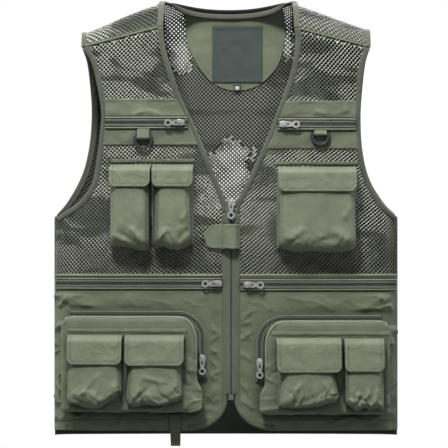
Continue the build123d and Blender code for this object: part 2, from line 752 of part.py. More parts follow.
for side, header in HEADER.items():
    pouches["chest", side].append(ribbon(BASE, BASE + 1.2, [header]))
loop_pads["right"].append(ribbon(BASE + 0.1, BASE + 0.1 + PAD_T, [TAB_PAD]))

save(joined(pouches["chest", "left"]), "chest_pouch_left")
save(joined(pouches["chest", "right"]), "chest_pouches_right")
for side in SIGN:
    save(joined(pouches["cargo", side]), f"cargo_pouches_{side}")
    save(joined(loop_pads[side]), f"loop_pads_{side}")


# ================= D-rings, closing tab and strap =================
RING_IN, RING_OUT = 10.5, 15.0
RING_DROP = 4.0             # centre of the ring's round below the bar
BAR_R, BAR_LENGTH = 2.0, 25.6
RING_T = 2 * BAR_R
WEB, WEB_W = 1.2, 20.0      # webbing loop's thickness and width
LOOP_R = BAR_R + 0.3        # inside of the webbing loop
BAR_Z = WEB + LOOP_R
# side: bar x and z, and how far up the webbing loop runs
RING_AT = {"left": (149.5, -208.2, 5.4), "right": (-131.0, -214.0, 13.8)}


def d_ring(base):
    """Flat-topped ring hanging from a straight round bar."""
    with BuildPart() as ring:
        with BuildSketch(base.offset(BAR_Z - RING_T / 2)):
            with Locations((0, -RING_DROP)):
                Circle(RING_OUT)
                Rectangle(2 * RING_OUT, 6.0, align=(Align.CENTER, Align.MIN))
            with Locations((0, BAR_R)):
                Rectangle(40, 20, align=(Align.CENTER, Align.MIN), mode=Mode.SUBTRACT)
            with Locations((0, -RING_DROP)):
                Circle(RING_IN, mode=Mode.SUBTRACT)
                Rectangle(2 * RING_IN, 10.0, align=(Align.CENTER, Align.MIN),
                          mode=Mode.SUBTRACT)
        extrude(amount=RING_T)
        fillet(ring.edges().filter_by(GeomType.CIRCLE), 1.2)
        bar_start = base.offset(BAR_Z).origin - base.x_dir * (BAR_LENGTH / 2)
        with BuildSketch(Plane(origin=bar_start, x_dir=base.z_dir, z_dir=base.x_dir)):
            Circle(BAR_R)
        extrude(amount=BAR_LENGTH)
    return ring.part


def d_ring_loop(base, run):
    """Webbing round the bar, with a tail that runs up the band."""
    start = base.offset(BAR_Z).origin + base.x_dir * (WEB_W / 2)
    with BuildPart() as loop:
        with BuildSketch(Plane(origin=start, x_dir=base.z_dir, z_dir=base.x_dir * -1)):
            Circle(LOOP_R + WEB)
            with BuildLine():
                Polyline((-BAR_Z, 0), (-BAR_Z, run), (-BAR_Z + 2.4, run), (BAR_Z, 1.5),
                         (BAR_Z, 0), (-BAR_Z, 0))
            make_face()
            Circle(LOOP_R, mode=Mode.SUBTRACT)
        extrude(amount=WEB_W)
    return loop.part


# Closing tab: plan lines of its inner and outer face as (x, distance out from the front's
# middle), and its outline seen from the front as (x, z).
TAB_UNDER = [(21.5, 2.4), (17.5, 8.0), (14.5, 11.2), (1.5, 11.2), (-3.0, 8.0), (-9.0, 3.7),
             (-37.0, 3.3)]
TAB_OVER = [(22.2, 3.4), (18.2, 9.0), (15.0, 12.4), (1.0, 12.4), (-3.7, 9.2), (-9.2, 4.9),
            (-37.0, 4.5)]
CLOSING_OUTLINE = [(24, -351), (-22, -351), (-35.5, -366), (-29, -389), (0, -391),
                   (24, -393), (24, -351)]


def closing_tab_pad():
    x, z, width, height = TAB_PAD
    with BuildPart() as tab_pad:
        with BuildSketch(Plane.XY.offset(z - height / 2)):
            with Locations((x, -DEPTH - 2.75)):
                Rectangle(width, 0.6)
        extrude(amount=height)
    return tab_pad.part


def closing_tab_cloth():
    """Tab from beside the zip on the left front, arching over the zip to the right."""
    under, over = ([(x, -DEPTH - out) for x, out in line] for line in (TAB_UNDER, TAB_OVER))
    with BuildPart() as cloth:
        with BuildSketch(Plane.XY.offset(-395.0)):
            with BuildLine():
                Polyline(*under, *reversed(over), under[0])
            make_face()
        extrude(amount=46.0)
        with BuildSketch(cut_plane(FRONT)):
            with BuildLine():
                Polyline(*CLOSING_OUTLINE)
            make_face()
        trim(FRONT)
    return cloth.part


def hem_strap():
    """Utility strap hanging under the right pouch pocket."""
    plane = face_plane(-81.0, -652.0, BASE)
    with BuildPart() as strap:
        with BuildSketch(plane):
            Rectangle(19.0, 52.0, align=(Align.CENTER, Align.MAX))
        extrude(amount=1.4)
        fillet(strap.edges().filter_by(Axis(plane.origin, plane.z_dir)), 1.0)
    return strap.part


for side, (x, z, run) in RING_AT.items():
    ring_base = face_plane(x, z, BAND_TOP)
    save(d_ring(ring_base), f"d_ring_{side}")
    save(d_ring_loop(ring_base, run), f"d_ring_loop_{side}")
save(joined([closing_tab_cloth(), closing_tab_pad()]), "closing_tab")
save(hem_strap(), "hem_strap")
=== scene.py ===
# A sleeveless vest of knitted net and nylon, open in front, with pouches on chest and hips.
# Shapes are worked out in millimetres in the CAD frame and scaled to metres in Mesh.make.
# +Z is up, -Y the front of the vest, +X the wearer's left.
# `side` is 1 for the wearer's left and -1 for the right.
import json
import math
from math import pi

import bpy
import numpy as np
from mathutils import Vector
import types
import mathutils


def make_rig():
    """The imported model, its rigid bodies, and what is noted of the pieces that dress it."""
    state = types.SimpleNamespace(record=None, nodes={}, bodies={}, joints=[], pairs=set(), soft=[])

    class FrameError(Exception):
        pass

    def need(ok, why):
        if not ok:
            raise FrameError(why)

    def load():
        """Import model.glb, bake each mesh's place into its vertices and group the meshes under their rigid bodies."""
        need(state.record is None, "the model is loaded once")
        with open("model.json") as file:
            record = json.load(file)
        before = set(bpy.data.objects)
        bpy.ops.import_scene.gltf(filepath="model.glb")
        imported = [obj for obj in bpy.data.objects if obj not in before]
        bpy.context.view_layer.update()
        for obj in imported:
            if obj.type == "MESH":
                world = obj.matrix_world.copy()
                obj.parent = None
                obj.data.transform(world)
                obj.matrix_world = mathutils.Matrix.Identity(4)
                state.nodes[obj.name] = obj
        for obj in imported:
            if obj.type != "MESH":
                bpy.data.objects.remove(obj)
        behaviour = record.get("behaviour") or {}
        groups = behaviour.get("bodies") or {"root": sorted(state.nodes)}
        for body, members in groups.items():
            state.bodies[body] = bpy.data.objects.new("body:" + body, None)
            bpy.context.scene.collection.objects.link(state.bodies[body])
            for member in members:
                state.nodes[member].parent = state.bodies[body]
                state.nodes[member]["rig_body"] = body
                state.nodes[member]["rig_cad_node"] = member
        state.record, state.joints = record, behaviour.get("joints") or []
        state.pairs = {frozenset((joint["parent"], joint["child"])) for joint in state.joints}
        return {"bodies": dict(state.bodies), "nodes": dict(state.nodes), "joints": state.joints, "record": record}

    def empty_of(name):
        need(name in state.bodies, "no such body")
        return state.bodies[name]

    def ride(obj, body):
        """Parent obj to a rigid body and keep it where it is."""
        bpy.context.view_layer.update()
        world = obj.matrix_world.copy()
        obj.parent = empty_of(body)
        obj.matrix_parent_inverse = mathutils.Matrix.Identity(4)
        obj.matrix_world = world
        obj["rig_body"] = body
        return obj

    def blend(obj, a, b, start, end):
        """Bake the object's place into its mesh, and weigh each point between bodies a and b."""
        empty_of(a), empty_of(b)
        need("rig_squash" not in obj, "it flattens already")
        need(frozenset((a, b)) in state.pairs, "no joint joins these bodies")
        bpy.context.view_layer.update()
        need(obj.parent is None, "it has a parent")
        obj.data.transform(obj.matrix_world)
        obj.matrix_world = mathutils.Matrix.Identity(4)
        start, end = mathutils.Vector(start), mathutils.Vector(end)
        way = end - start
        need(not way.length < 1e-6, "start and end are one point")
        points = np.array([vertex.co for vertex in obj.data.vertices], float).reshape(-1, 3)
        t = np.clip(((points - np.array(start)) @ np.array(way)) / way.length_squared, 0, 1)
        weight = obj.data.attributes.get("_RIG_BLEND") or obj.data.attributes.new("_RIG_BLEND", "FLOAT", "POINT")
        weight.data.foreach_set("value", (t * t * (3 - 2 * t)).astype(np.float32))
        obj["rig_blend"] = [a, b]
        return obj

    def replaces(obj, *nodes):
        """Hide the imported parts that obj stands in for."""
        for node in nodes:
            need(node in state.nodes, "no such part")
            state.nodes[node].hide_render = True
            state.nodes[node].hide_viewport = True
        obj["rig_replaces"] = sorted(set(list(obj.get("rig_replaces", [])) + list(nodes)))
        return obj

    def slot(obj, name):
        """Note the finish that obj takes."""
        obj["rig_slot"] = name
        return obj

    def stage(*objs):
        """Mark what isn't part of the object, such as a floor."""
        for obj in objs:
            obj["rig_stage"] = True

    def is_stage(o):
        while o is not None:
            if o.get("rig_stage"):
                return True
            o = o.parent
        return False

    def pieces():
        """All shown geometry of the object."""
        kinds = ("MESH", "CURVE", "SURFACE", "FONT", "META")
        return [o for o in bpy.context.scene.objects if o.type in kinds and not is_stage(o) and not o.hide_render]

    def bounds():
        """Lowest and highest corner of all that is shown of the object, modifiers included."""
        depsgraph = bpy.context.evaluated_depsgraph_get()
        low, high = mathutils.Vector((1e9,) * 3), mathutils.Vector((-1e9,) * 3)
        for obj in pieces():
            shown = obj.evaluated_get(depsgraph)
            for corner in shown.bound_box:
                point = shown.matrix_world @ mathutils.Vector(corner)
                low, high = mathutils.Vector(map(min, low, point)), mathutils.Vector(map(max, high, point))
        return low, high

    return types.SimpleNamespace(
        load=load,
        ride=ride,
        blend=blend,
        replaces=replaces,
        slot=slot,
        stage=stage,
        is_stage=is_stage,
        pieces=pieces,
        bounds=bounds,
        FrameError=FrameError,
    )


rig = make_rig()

def bounds():
    return [[float(value) for value in corner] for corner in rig.bounds()]


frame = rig.load()
cad_box = bounds()

SIDES = (1, -1)
SIDE_NAME = {1: "left", -1: "right"}
BODY = {1: "front_left", -1: "front_right"}
# net and tapes that pass from the back to a front: bodies, start and end of the blend (m)
BLEND = {1: ("back", "front_left", (0.2, -0.05, -0.020), (0.2, -0.05, -0.150)),
         -1: ("back", "front_right", (-0.2, -0.05, -0.020), (-0.2, -0.05, -0.150))}


# ------------------------------------------------------------------ numbers and noise
def ease(value, start, end):
    """Smooth step from 0 at start to 1 at end."""
    t = np.clip((np.asarray(value, float) - start) / (end - start), 0, 1)
    return t * t * (3 - 2 * t)


def bell(value, middle, width):
    return np.exp(-((value - middle) / width) ** 2)


def round_corner(ratio):
    """How far a unit quarter circle has come in, for a ratio from 0 to 1 along it."""
    ratio = min(max(ratio, 0.0), 1.0)
    return 1 - math.sqrt(1 - ratio ** 2)


def cell_hash(column, row, seed):
    """A repeatable value from -1 to 1 for each lattice cell."""
    bits = (column.astype(np.int64) * 374761393 + row.astype(np.int64) * 668265263
            + int(seed) * 1442695041) & 0xFFFFFFFF
    bits = ((bits ^ (bits >> 13)) * 1274126177) & 0xFFFFFFFF
    return ((bits ^ (bits >> 16)) & 0xFFFFFF) / float(0xFFFFFF) * 2 - 1


def value_noise(x, y, seed):
    x, y = np.broadcast_arrays(np.asarray(x, float), np.asarray(y, float))
    column, row = np.floor(x), np.floor(y)
    right, up = [part ** 3 * (part * (part * 6 - 15) + 10) for part in (x - column, y - row)]
    low = cell_hash(column, row, seed) * (1 - right) + cell_hash(column + 1, row, seed) * right
    high = (cell_hash(column, row + 1, seed) * (1 - right)
            + cell_hash(column + 1, row + 1, seed) * right)
    return low * (1 - up) + high * up


def fractal(x, y, size, seed, octaves=3):
    """Layered noise; each octave is half the size and strength of the one before."""
    total, weight, weights = 0, 1.0, 0.0
    for i in range(octaves):
        total = total + weight * value_noise(np.asarray(x) / size + 7.3 * i,
                                             np.asarray(y) / size - 3.1 * i, seed + 17 * i)
        weights += weight
        weight *= 0.5
        size *= 0.5
    return total / weights


def folds(x, y, size, angle, seed, stretch):
    """Long narrow creases running at an angle, 0 to 1."""
    cosine, sine = math.cos(angle), math.sin(angle)
    bent_x = x + 0.35 * size * value_noise(x / size, y / size, seed + 5)
    bent_y = y + 0.35 * size * value_noise(x / size, y / size, seed + 9)
    along, across = bent_x * cosine + bent_y * sine, -bent_x * sine + bent_y * cosine
    noise = value_noise(along / (size * stretch), across / size, seed)
    return np.clip(1 - np.abs(noise) * 2.2, 0, 1) ** 2


def crease(x, y, x0, y0, x1, y1, width):
    """One soft fold from a point to a point, 0 to 1."""
    run_x, run_y = x1 - x0, y1 - y0
    along = ((x - x0) * run_x + (y - y0) * run_y) / (run_x * run_x + run_y * run_y)
    near = np.clip(along, 0, 1)
    distance = np.hypot(x - (x0 + near * run_x), y - (y0 + near * run_y))
    return bell(distance, 0, width) * ease(along, -0.1, 0.2) * (1 - ease(along, 0.75, 1.1))


def creases(x, y, table):
    """Sum of creases; a row is x0, y0, x1, y1, width, height."""
    return sum(height * crease(x, y, *line) for *line, height in table)


# ------------------------------------------------------------------ paths and sections
def unit(vectors):
    return vectors / (np.linalg.norm(vectors, axis=-1, keepdims=True) + 1e-12)


def directions(path):
    return unit(np.gradient(path, axis=0))


def lengths(path):
    """Distance along the path at each of its points."""
    return np.concatenate([[0], np.cumsum(np.linalg.norm(np.diff(path, axis=0), axis=1))])


def resample(values, distance, stations):
    return np.column_stack([np.interp(stations, distance, column) for column in values.T])


def even(path, step=None, count=None):
    """The path again with evenly spaced points."""
    path = np.asarray(path, float)
    distance = lengths(path)
    if count is None:
        count = max(2, int(round(distance[-1] / step)) + 1)
    return resample(path, distance, np.linspace(0, distance[-1], count))


def curve(points, count):
    """Smooth open curve through points, evenly spaced."""
    points = np.asarray(points, float)
    knots = np.vstack([2 * points[0] - points[1], points, 2 * points[-1] - points[-2]])
    t = np.linspace(0, 1, 24, endpoint=False)[:, None]
    pieces = []
    for before, start, end, after in zip(knots, knots[1:], knots[2:], knots[3:]):
        pieces.append(0.5 * (2 * start + (end - before) * t
                             + (2 * before - 5 * start + 4 * end - after) * t ** 2
                             + (3 * start - before - 3 * end + after) * t ** 3))
    return even(np.vstack(pieces + [points[-1:]]), count=count)


def shift(path, offset):
    """Offset a 2D path sideways; positive is to the left of its direction."""
    heading = directions(np.asarray(path, float))
    return path + np.column_stack([-heading[:, 1], heading[:, 0]]) * offset


def level(start, end, z, count):
    """A straight path at one height."""
    return np.column_stack([np.linspace(start, end, count), np.full(count, z)])


def on(surface, path, out):
    """3D points and outward normals of a 2D path on a surface."""
    path = np.asarray(path, float)
    points = surface(path[:, 0], path[:, 1], out)
    return points, unit(surface(path[:, 0], path[:, 1], out + 0.5) - points)


# A section is a closed outline of (across, out) points.
def tape_section(width, thick, crown=0.0, count=7, lift=0.0):
    x = np.linspace(-width / 2, width / 2, count)
    ratio = np.abs(x) / (width / 2)
    edge = np.sqrt(np.clip(1 - ratio ** 6, 0, 1))
    top = np.column_stack([x, lift + thick * (0.35 + 0.65 * edge) + crown * (1 - ratio ** 2)])
    return np.vstack([top, np.column_stack([x[::-1], np.full(count, lift)])])


def round_section(radius, count=8, squash=1.0):
    angle = np.linspace(0, 2 * pi, count, endpoint=False)
    return np.column_stack([radius * np.cos(angle), radius * squash * np.sin(angle)])[::-1]


# ------------------------------------------------------------------ meshes
def quads(*corners):
    return np.stack(corners, -1).reshape(-1, 4)


def grid_quads(index):
    return quads(index[:-1, :-1], index[:-1, 1:], index[1:, 1:], index[1:, :-1])


def ring_quads(index):
    """Faces between rings of points; each row of index is one closed ring."""
    following = np.roll(index, -1, 1)
    return quads(index[:-1], following[:-1], following[1:], index[1:])


def edge_steps(length, count):
    """Positions from 0 to 1 across a sheet, close together at its two edges."""
    fine = [step for step in (0.35, 1.0, 2.2) if step < length * 0.2]
    middle = np.linspace(fine[-1], length - fine[-1], count)
    ending = [length - step for step in fine[:-1][::-1]]
    return np.concatenate([[0], fine[:-1], middle, ending, [length]]) / length


class Mesh:
    """Points and faces gathered from several pieces, then made into one object.

    A surface is a function (across, up, out) that places a point `out` above the cloth.
    """

    def __init__(self):
        self.points = []
        self.faces = []
        self.count = 0
        self.depth = None

    def add(self, points, faces):
        points = np.reshape(points, (-1, 3))
        self.points.append(points)
        self.faces += [[i + self.count for i in face] for face in faces]
        self.count += len(points)
        return self

    def sheet(self, surface, rows, left, right, columns, thick, lift=0.0, hem=0.0,
              turned=False):
        """Closed cloth sheet. rows are heights; left and right end each row.
        hem thickens the edge; turned flips the faces."""
        rows = np.asarray(rows, float)
        left, right = [np.array([edge(row) for row in rows]) if callable(edge)
                       else np.full(len(rows), float(edge)) for edge in (left, right)]
        span = (right - left)[:, None]
        steps = edge_steps(float(np.mean(span)), columns)[None, :]
        across = left[:, None] + span * steps
        up = np.repeat(rows[:, None], steps.size, 1)
        to_end = np.minimum(rows - rows.min(), rows.max() - rows)[:, None]
        rim = np.minimum(np.minimum(steps, 1 - steps) * span, to_end)
        rounding = np.sqrt(np.clip(1 - (1 - np.minimum(rim / (thick * 0.8), 1)) ** 2, 0, 1))
        bulge = thick * rounding * 0.5
        hem_rise = (hem * ease(rim, 0, 0.8) * (1 - ease(rim, 4.6, 5.6))
                    - 0.25 * hem * bell(rim, 5.6, 0.8))
        top = surface(across, up, lift + thick / 2 + bulge + hem_rise)
        bottom = surface(across, up, lift + thick / 2 - bulge)
        index = np.arange(across.size).reshape(across.shape)
        inner = np.zeros(across.shape, bool)
        inner[1:-1, 1:-1] = True
        under = index.copy()
        under[inner] = across.size + np.arange(inner.sum())
        faces = np.vstack([grid_quads(index), quads(under[:-1, :-1], under[1:, :-1],
                                                    under[1:, 1:], under[:-1, 1:])])
        if turned:
            faces = faces[:, ::-1]
        return self.add(np.vstack([top.reshape(-1, 3), bottom[inner]]), faces.tolist())

    def sweep(self, path, normals, section):
        """Carries a closed section, or one for each point, along 3D points, with end caps."""
        along = directions(path)
        across = unit(np.cross(along, unit(normals)))
        outward = np.cross(across, along)
        section = np.broadcast_to(section, (len(path),) + np.shape(section)[-2:])
        points = (path[:, None, :] + across[:, None, :] * section[:, :, :1]
                  + outward[:, None, :] * section[:, :, 1:2])
        index = np.arange(points[..., 0].size).reshape(points.shape[:2])
        following = np.roll(index, -1, 1)
        faces = ring_quads(index).tolist()
        first_cap, last_cap = index.size, index.size + 1
        faces += [[b, a, first_cap] for a, b in zip(index[0].tolist(), following[0].tolist())]
        faces += [[a, b, last_cap] for a, b in zip(index[-1].tolist(), following[-1].tolist())]
        return self.add(np.vstack([points.reshape(-1, 3), points[0].mean(0), points[-1].mean(0)]),
                        faces)

    def cord(self, surface, path, radius, out, count=8):
        return self.sweep(*on(surface, path, out), round_section(radius, count, 0.8))

    def tape(self, surface, path, width, thick, out=0.0, crown=0.0, step=4.0, pucker=0.0,
             seed=0):
        path = even(path, step)
        sections = np.repeat(tape_section(width, thick, crown)[None], len(path), 0)
        distance = np.arange(len(path)) * step
        for edge in (-1, 1):
            height = pucker * fractal(distance, edge * 40.0, 9.0, seed, 2)
            half = np.sign(sections[0, :, 0]) == edge
            sections[:, half, 1] += (height[:, None] * np.abs(sections[:, half, 0])
                                     / (width / 2) * (sections[:, half, 1] > 0.01))
        return self.sweep(*on(surface, path, out), sections)

    def stitches(self, surface, path, out, pitch=3.4, length=2.3, radius=0.3):
        """A row of short threads with tapered ends."""
        points, normals = on(surface, even(path, pitch), out)
        along = directions(points)
        across = np.cross(along, normals)
        points, normals, along, across = [a[1:-1] for a in (points, normals, along, across)]
        corners = 5
        rings = [(-0.5, 0.25), (-0.3, 1.0), (0.3, 1.0), (0.5, 0.25)]  # place along, thickness
        placed = [points + along * place * length
                  + across * (radius * scale * math.cos(angle))
                  + normals * (radius * scale * math.sin(angle))
                  for place, scale in rings
                  for angle in np.linspace(0, 2 * pi, corners, endpoint=False)]
        index = np.arange(4 * corners).reshape(4, corners)
        base = (np.arange(len(points)) * index.size)[:, None]
        walls = (base[:, None, :] + ring_quads(index)[None]).reshape(-1, 4)
        faces = walls.tolist() + (base + index[0, ::-1]).tolist() + (base + index[3]).tolist()
        return self.add(np.stack(placed, 1), faces)

    def coil(self, surface, path, offset, out, radius, pitch=1.7):
        """One row of zip coil: a ribbed cord."""
        path = even(shift(path, offset), pitch / 4)
        ribs = radius * (0.72 + 0.28 * np.cos(np.arange(len(path)) * pi / 2))
        return self.sweep(*on(surface, path, out), round_section(1.0, 6) * ribs[:, None, None])

    def make(self, name, look, body, slot, *replaced):
        """Makes the object. body is one body, or two with the start and end of a blend."""
        mesh = bpy.data.meshes.new(name)
        mesh.from_pydata((np.vstack(self.points) * 0.001).tolist(), [], self.faces)
        mesh.validate()
        mesh.update()
        mesh.polygons.foreach_set("use_smooth", [True] * len(mesh.polygons))
        mesh.materials.append(look.material)
        # the net's depth attribute, which the knit shader turns into painted shade
        if self.depth is not None:
            attribute = mesh.attributes.new("depth", "FLOAT", "POINT")
            attribute.data.foreach_set("value", self.depth.astype(np.float32))
        made = bpy.data.objects.new(name, mesh)
        bpy.context.scene.collection.objects.link(made)
        if isinstance(body, tuple):
            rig.blend(made, body[0], body[1], start=body[2], end=body[3])
        else:
            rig.ride(made, body)
        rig.slot(made, slot)
        if replaced:
            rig.replaces(made, *replaced)


NET_ROW = 3.3                # height of one row of holes
NET_THICK = 0.95
OCTAGON_X = np.array([2, 1, 0, -1, -2, -1, 0, 1])
OCTAGON_Z = np.array([0, 1, 2, 1, 0, -1, -2, -1])


def net(surface, inside, across_range, up_range, warp, hole=1.8, shade_floored=None, thread_shade=None):
    """Knitted net: a diamond lattice of round holes with rounded threads between them.

    hole is the hole radius. The next argument tells which holes are shut by a dark floor, painted shade seen through
    the net; the one after it darkens threads as painted shade. All three may be functions of place.
    """
    half = NET_ROW / 2
    columns, rows = np.meshgrid(
        np.arange(*(int(end / (2 * NET_ROW)) + more for end, more in zip(across_range, (-2, 3)))),
        np.arange(*(int(end / NET_ROW) + more for end, more in zip(up_range, (-2, 3)))))
    hole_x = (4 * columns + 2 * (rows % 2)).ravel()
    hole_z = (2 * rows).ravel()
    across, up = warp(hole_x * half, hole_z * half)
    keep = inside(across, up)
    across, up, hole_x, hole_z = across[keep], up[keep], hole_x[keep], hole_z[keep]
    count = len(hole_x)

    # threads: lattice points shared by neighbouring holes, found by a common key
    key = ((hole_x[:, None] + OCTAGON_X).astype(np.int64) + 5000) * 20000 \
        + (hole_z[:, None] + OCTAGON_Z + 5000)
    shared, inverse = np.unique(key.ravel(), return_inverse=True)
    knot_x, knot_z = shared // 20000 - 5000, shared % 20000 - 5000
    knot_across, knot_up = warp(knot_x * half, knot_z * half)
    crossing = ((knot_x % 2) == 0) & ((knot_z % 2) == 0)
    lift = np.where(crossing, NET_THICK * 0.62, NET_THICK * 0.42)
    middle = NET_THICK / 2
    top = surface(knot_across, knot_up, middle + lift)
    bottom = surface(knot_across, knot_up, middle - lift * 0.8)

    # the rims of the holes
    angle = np.arctan2(OCTAGON_Z, OCTAGON_X)
    if callable(hole):
        hole = np.asarray(hole(across, up))[:, None]
    radius = hole * np.where(np.arange(8) % 2 == 0, 1.1, 1.0)
    rim_across, rim_up = warp(hole_x[:, None] * half + radius * np.cos(angle),
                              hole_z[:, None] * half + radius * np.sin(angle))

    def rim_points(out):
        return surface(rim_across.ravel(), rim_up.ravel(), np.full(count * 8, out))

    knots = len(shared)
    outer = inverse.reshape(count, 8)
    rim = 2 * knots + np.arange(count * 8).reshape(count, 8)
    outer_next, rim_next = np.roll(outer, -1, 1), np.roll(rim, -1, 1)
    shut = np.zeros(count, bool) if shade_floored is None else shade_floored(across, up)
    under = np.stack([outer_next + knots, outer + knots, rim, rim_next], -1)
    faces = quads(outer, outer_next, rim_next, rim).tolist()
    faces += under[~shut].reshape(-1, 4).tolist()
    points = [top, bottom, rim_points(middle)]
    if shut.any():
        # here the holes get a floor, which the shader colours dark: painted shade seen through the net
        points.append(rim_points(middle - 0.25))
        floor = rim + count * 8
        under = np.stack([outer_next + knots, outer + knots, floor, np.roll(floor, -1, 1)], -1)
        faces += under[shut].reshape(-1, 4).tolist()
        faces += rim[shut].tolist() + floor[shut][:, ::-1].tolist()
    # depth: 1 on lit threads, lower on threads given painted shade, 0.5 on open rims of a floored net and 0 on hole
    # floors; the shader darkens by it
    thread_shading = np.zeros(knots) if thread_shade is None else thread_shade(knot_across, knot_up)
    open_rim = 1.0 if shade_floored is None else 0.5
    rim_depth = np.where(np.repeat(shut, 8), 0.0, open_rim)
    depth = np.concatenate([1 - 0.56 * thread_shading, 1 - 0.52 * thread_shading]
                           + [rim_depth] * (len(points) - 2))
    points = np.vstack(points)
    used = np.zeros(len(points), bool)
    for face in faces:
        used[face] = True
    renumber = (np.cumsum(used) - 1).tolist()
    mesh = Mesh().add(points[used], [[renumber[i] for i in face] for face in faces])
    mesh.depth = depth[used]
    return mesh


# ------------------------------------------------------------------ shader building
def linear(rgb):
    rgb = np.asarray(rgb, float) / 255.0
    return np.where(rgb <= 0.04045, rgb / 12.92, ((rgb + 0.055) / 1.055) ** 2.4)


class Nodes:
    """Short ways to make and join the nodes of one tree. A value may be an output socket."""

    def __init__(self, tree):
        self.tree = tree

    def feed(self, socket, value):
        if isinstance(value, bpy.types.NodeSocket):
            self.tree.links.new(value, socket)
        else:
            socket.default_value = value

    def node(self, kind, inputs=(), **settings):
        made = self.tree.nodes.new("ShaderNode" + kind)
        for key, value in settings.items():
            setattr(made, key, value)
        for key, value in dict(inputs).items():
            self.feed(made.inputs[key], value)
        return made

    def maths(self, operation, *values):
        return self.node("Math", enumerate(values), operation=operation).outputs[0]

    def span(self, value, from_min, from_max, to_min=0.0, to_max=1.0, **settings):
        return self.node("MapRange", {"Value": value, "From Min": from_min,
                                      "From Max": from_max, "To Min": to_min,
                                      "To Max": to_max}, **settings).outputs["Result"]

    def mix(self, factor, first, second):
        """Colour mix."""
        return self.node("Mix", {0: factor, 6: first, 7: second}, data_type="RGBA").outputs[2]

    def ramp(self, factor, first, last, start=0.0, end=1.0):
        made = self.node("ValToRGB", {"Fac": factor})
        for stop, position, rgb in zip(made.color_ramp.elements, (start, end), (first, last)):
            stop.position = position
            stop.color = (*rgb, 1)
        return made.outputs["Color"]

    def object_place(self):
        return self.node("TexCoord").outputs["Object"]

    def noise(self, vector, scale, detail, **more):
        return self.node("TexNoise", {"Vector": vector, "Scale": scale, "Detail": detail,
                                      **more}).outputs["Fac"]

    def bump(self, height, strength, distance, **more):
        return self.node("Bump", {"Height": height, "Strength": strength,
                                  "Distance": distance, **more}).outputs["Normal"]

    def parts(self, vector):
        return self.node("SeparateXYZ", {0: vector}).outputs


class Look(Nodes):
    """A material built round its Principled shader."""

    def __init__(self, name):
        self.material = bpy.data.materials.new(name)
        self.material.use_nodes = True
        super().__init__(self.material.node_tree)
        self.shader = self.tree.nodes["Principled BSDF"]

    def set(self, inputs):
        for key, value in inputs.items():
            self.feed(self.shader.inputs[key], value)

    def colour(self):
        return self.shader.inputs["Base Color"].links[0].from_socket

    def darken(self, factor):
        scaled = self.node("VectorMath", {0: self.colour(), "Scale": factor}, operation="SCALE")
        self.set({"Base Color": scaled.outputs["Vector"]})


# ------------------------------------------------------------------ materials
CLOTH_GAIN = 1.18            # lifts the cloth colours


def cloth(name, rgb, gain=CLOTH_GAIN, weave=1500.0, weave_bump=0.25, crinkle=0.35, vary=0.16,
          rough=0.62, sheen=0.25, edge=0.25, crease_reach=0.03):
    """Woven cloth, mottled, lighter on its sharp convex edges, with painted shade in its creases."""
    look = Look(name)
    base = linear(rgb) * gain
    place = look.object_place()
    mottle = look.maths("MULTIPLY_ADD", look.noise(place, scale=420.0, detail=3.0), 0.35,
                        look.maths("MULTIPLY", look.noise(place, scale=28.0, detail=4.0), 0.65))
    tone = look.ramp(mottle, base * (1 - vary), base * (1 + vary), start=0.3, end=0.7)
    # lighter colour on sharp convex edges, where pointiness is high
    pointed = look.node("NewGeometry").outputs["Pointiness"]
    sharp_edges = look.ramp(pointed, (0, 0, 0), (edge, edge, edge), start=0.51, end=0.60)
    edge_colour = (*np.minimum(base * 1.5, 1), 1)
    # painted shade: ambient occlusion darkens the colour in creases, in recesses and under neighbouring parts
    crease_shade = look.node("AmbientOcclusion", {"Distance": crease_reach}, samples=6)

    # plain weave and small crinkles
    bands = [look.node("TexWave", {"Vector": place, "Scale": weave / (2 * pi),
                                   "Distortion": 1.2, "Detail": 1.0},
                       bands_direction=axis).outputs["Fac"] for axis in ("X", "Z")]
    woven = look.bump(look.maths("MULTIPLY", *bands), strength=weave_bump, distance=0.00025)
    wrinkles = look.noise(place, scale=95.0, detail=5.0, Roughness=0.6, Distortion=0.6)
    look.set({"Base Color": look.mix(sharp_edges, tone, edge_colour),
              "Roughness": rough,
              "Sheen Weight": sheen,
              "Sheen Roughness": 0.45,
              "Specular IOR Level": 0.32,
              "Normal": look.bump(wrinkles, strength=crinkle, distance=0.0016, Normal=woven)})
    # painted shade in creases and recesses
    look.darken(look.maths("POWER", crease_shade.outputs["AO"], 1.3))
    return look


def shade_inside(look, dark):
    """Darker cloth where a back part faces -Y, the inside of the vest."""
    normal = look.parts(look.node("NewGeometry").outputs["True Normal"])
    outward = look.maths("MULTIPLY", normal["Y"], 1.0)
    look.darken(look.span(outward, -0.35, 0.75, to_min=dark))
    return look


